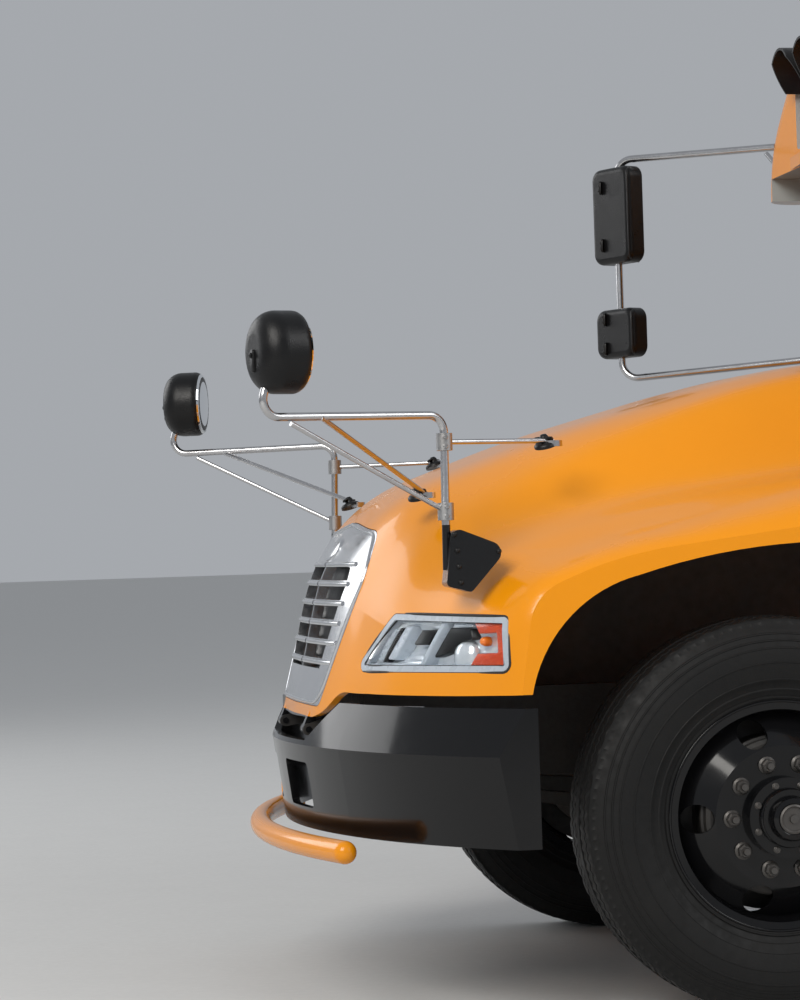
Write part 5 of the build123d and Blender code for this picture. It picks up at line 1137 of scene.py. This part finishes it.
# Wheel rim with its stitched seam, hub pad, dials and switches on the dash
wheel_place = frame_at((driver_x + 0.35, SEAT_Y, 1.7), (-0.6, 0, 0.8))
bm = bmesh.new()
tube(bm, circle(wheel_place, 0.215, 0, 72), 15.8, 12, closed=True,
     squash=lambda i: (1, 1) if i % 2 else (0.96, 0.96))
disc(bm, wheel_place, [(64, 8), (64, 16), (60, 21), (45, 24), (20, 25.5), (1, 26)], 36)
settle("steering_wheel_cover", bm, MOULDED, edge=50)
dash_tree = tree_of("driver_station")
bm = bmesh.new()
faces = bmesh.new()
for y, z, radius in ((0.78, 1.745, 36), (0.7, 1.745, 36), (0.58, 1.745, 36), (0.5, 1.745, 36),
                     (0.64, 1.66, 26), (0.9, 1.66, 26), (0.42, 1.66, 26)):
    place = on(dash_tree, (AXLE - 1.15, y, z), (1, 0, 0))
    disc(bm, place, [(radius + 6, -1), (radius + 6, 6), (radius + 2, 8), (radius, 4), (1, 4)], 32)
    disc(faces, place, [(radius - 1, 3), (radius - 2, 4.6), (1, 4.8)], 24)
for k in range(8):
    place = on(dash_tree, (AXLE - 1.15, 0.36 - 0.055 * k, 1.6), (1, 0, 0))
    block(bm, place, 28, 40, 10, 4, 3, 2)
settle("dash_bezels_and_switches", bm, MOULDED, edge=45)
settle("dash_dials", faces, GLASS, edge=45)

# Grab rails by the entry steps, and the aisle's rubber ribs
bm = bmesh.new()
rail = ((-1.15, 1.05), (-1.085, 1.09), (-0.83, 1.62), (-0.83, 1.8))
for u in (-0.985, -1.66):
    tube(bm, bent([(AXLE + u, y, z) for y, z in rail], 0.06, 6), 14, 12)
settle("entry_grab_rails", bm, TUBE, edge=50)
bm = bmesh.new()
for k in range(9):
    place = frame_at((AXLE - 5.4, -0.128 + 0.032 * k, 0.9698), (0, 0, 1), (0, 1, 0))
    block(bm, place, 7200, 12, 3, 4, 1, 2)
settle("aisle_ribs", bm, FLOORING, edge=40)


# Finish of each CAD node, satin black if it is not named

FINISHES = (
    (AMBER, "amber_lamps"), (BEZEL, "headlamps"), (CHROME, "grille"), (DARK_STEEL, "seat_frames"),
    (NOSE, "hood"), (PLASTIC, "driver_station"), (RED, "red_lamps"), (ROOF, "roof"),
    (SHROUD, "crossview_arms"), (STOP_RED, "stop_sign"), (TUBE, "mirror_arms"),
    (VINYL, "seats"), (ZINC, "exhaust"), (GLASS, "window_glass windshield"),
    (MOULDED, "crossview_heads mirror_heads"), (WHITE, "hatch_front hatch_rear"),
    (FLOORING, "cabin_floor entry_steps wheel_tubs"), (YELLOW, "gate_arm rear_door rear_wall"),
    (CAST, "engine knuckle_left knuckle_right rear_axle"),
    (LINED, "cowl front_cap left_wall right_wall"),
    (CHASSIS, "chassis_frame front_axle fuel_tank leaf_springs tie_rod"),
    (BLACK, "front_bumper gate_base rear_bumper"),
)
worn = {name: mat for mat, names in FINISHES for name in names.split()}
for wheel in ("front_left", "front_right", "rear_left", "rear_right"):
    worn[wheel + "_tyre"] = RUBBER
    worn[wheel + "_rim"] = BLACK
for name, node in nodes.items():
    node.data.materials.clear()
    node.data.materials.append(worn.get(name, SATIN))

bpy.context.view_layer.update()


# Floor, light and camera


def panel(name, size, place, target, power, colour=(1, 1, 1)):
    """A rectangular area light that looks at a target."""
    lamp = bpy.data.lights.new(name, "AREA")
    lamp.shape = "RECTANGLE"
    lamp.size, lamp.size_y = size
    lamp.energy = power
    lamp.color = colour
    obj = bpy.data.objects.new(name, lamp)
    scene.collection.objects.link(obj)
    obj.location = place
    aim = (Vector(target) - Vector(place)).to_track_quat("-Z", "Y")
    obj.rotation_euler = aim.to_euler()


bpy.ops.mesh.primitive_plane_add(size=400, location=(0, 0, -0.001))
floor = bpy.context.object
floor.name = "studio_floor"
floor.data.materials.append(
    finish("floor_grey", (0.62, 0.62, 0.61), rough=0.7, tint=(0.58, 0.58, 0.57)).mat)

world = bpy.data.worlds.new("studio")
scene.world = world
world.use_nodes = True
sky = world.node_tree.nodes["Background"].inputs
sky["Color"].default_value = (0.9, 0.94, 1, 1)
sky["Strength"].default_value = 0.42
panel("key", (7, 7), (12, 9, 9), (AXLE, 0, 1.2), 1350, (1, 0.97, 0.92))
panel("fill", (9, 6), (13, -9, 6), (AXLE, 0, 1.2), 380)
panel("back", (10, 10), (-9, 10, 10), (-1, 0, 1.5), 1100)

FOCAL = 3.033  # focal length over the picture's longer side, which is 36 mm
EYE = Vector((AXLE + 2.269, 8.849, 1.252))
scene.view_settings.view_transform = "Standard"
yaw, pitch, roll = (radians(v) for v in (9.4036, 0.9735, 1.8225))
look = Vector((-sin(yaw) * cos(pitch), -cos(yaw) * cos(pitch), sin(pitch)))
turn = look.to_track_quat("-Z", "Y").to_matrix().to_4x4() @ Matrix.Rotation(-roll, 4, "Z")
camera_data = bpy.data.cameras.new("camera")
camera_data.lens = 36 * FOCAL
camera = bpy.data.objects.new("camera", camera_data)
scene.collection.objects.link(camera)
camera.matrix_world = moved(EYE) @ turn
scene.camera = camera
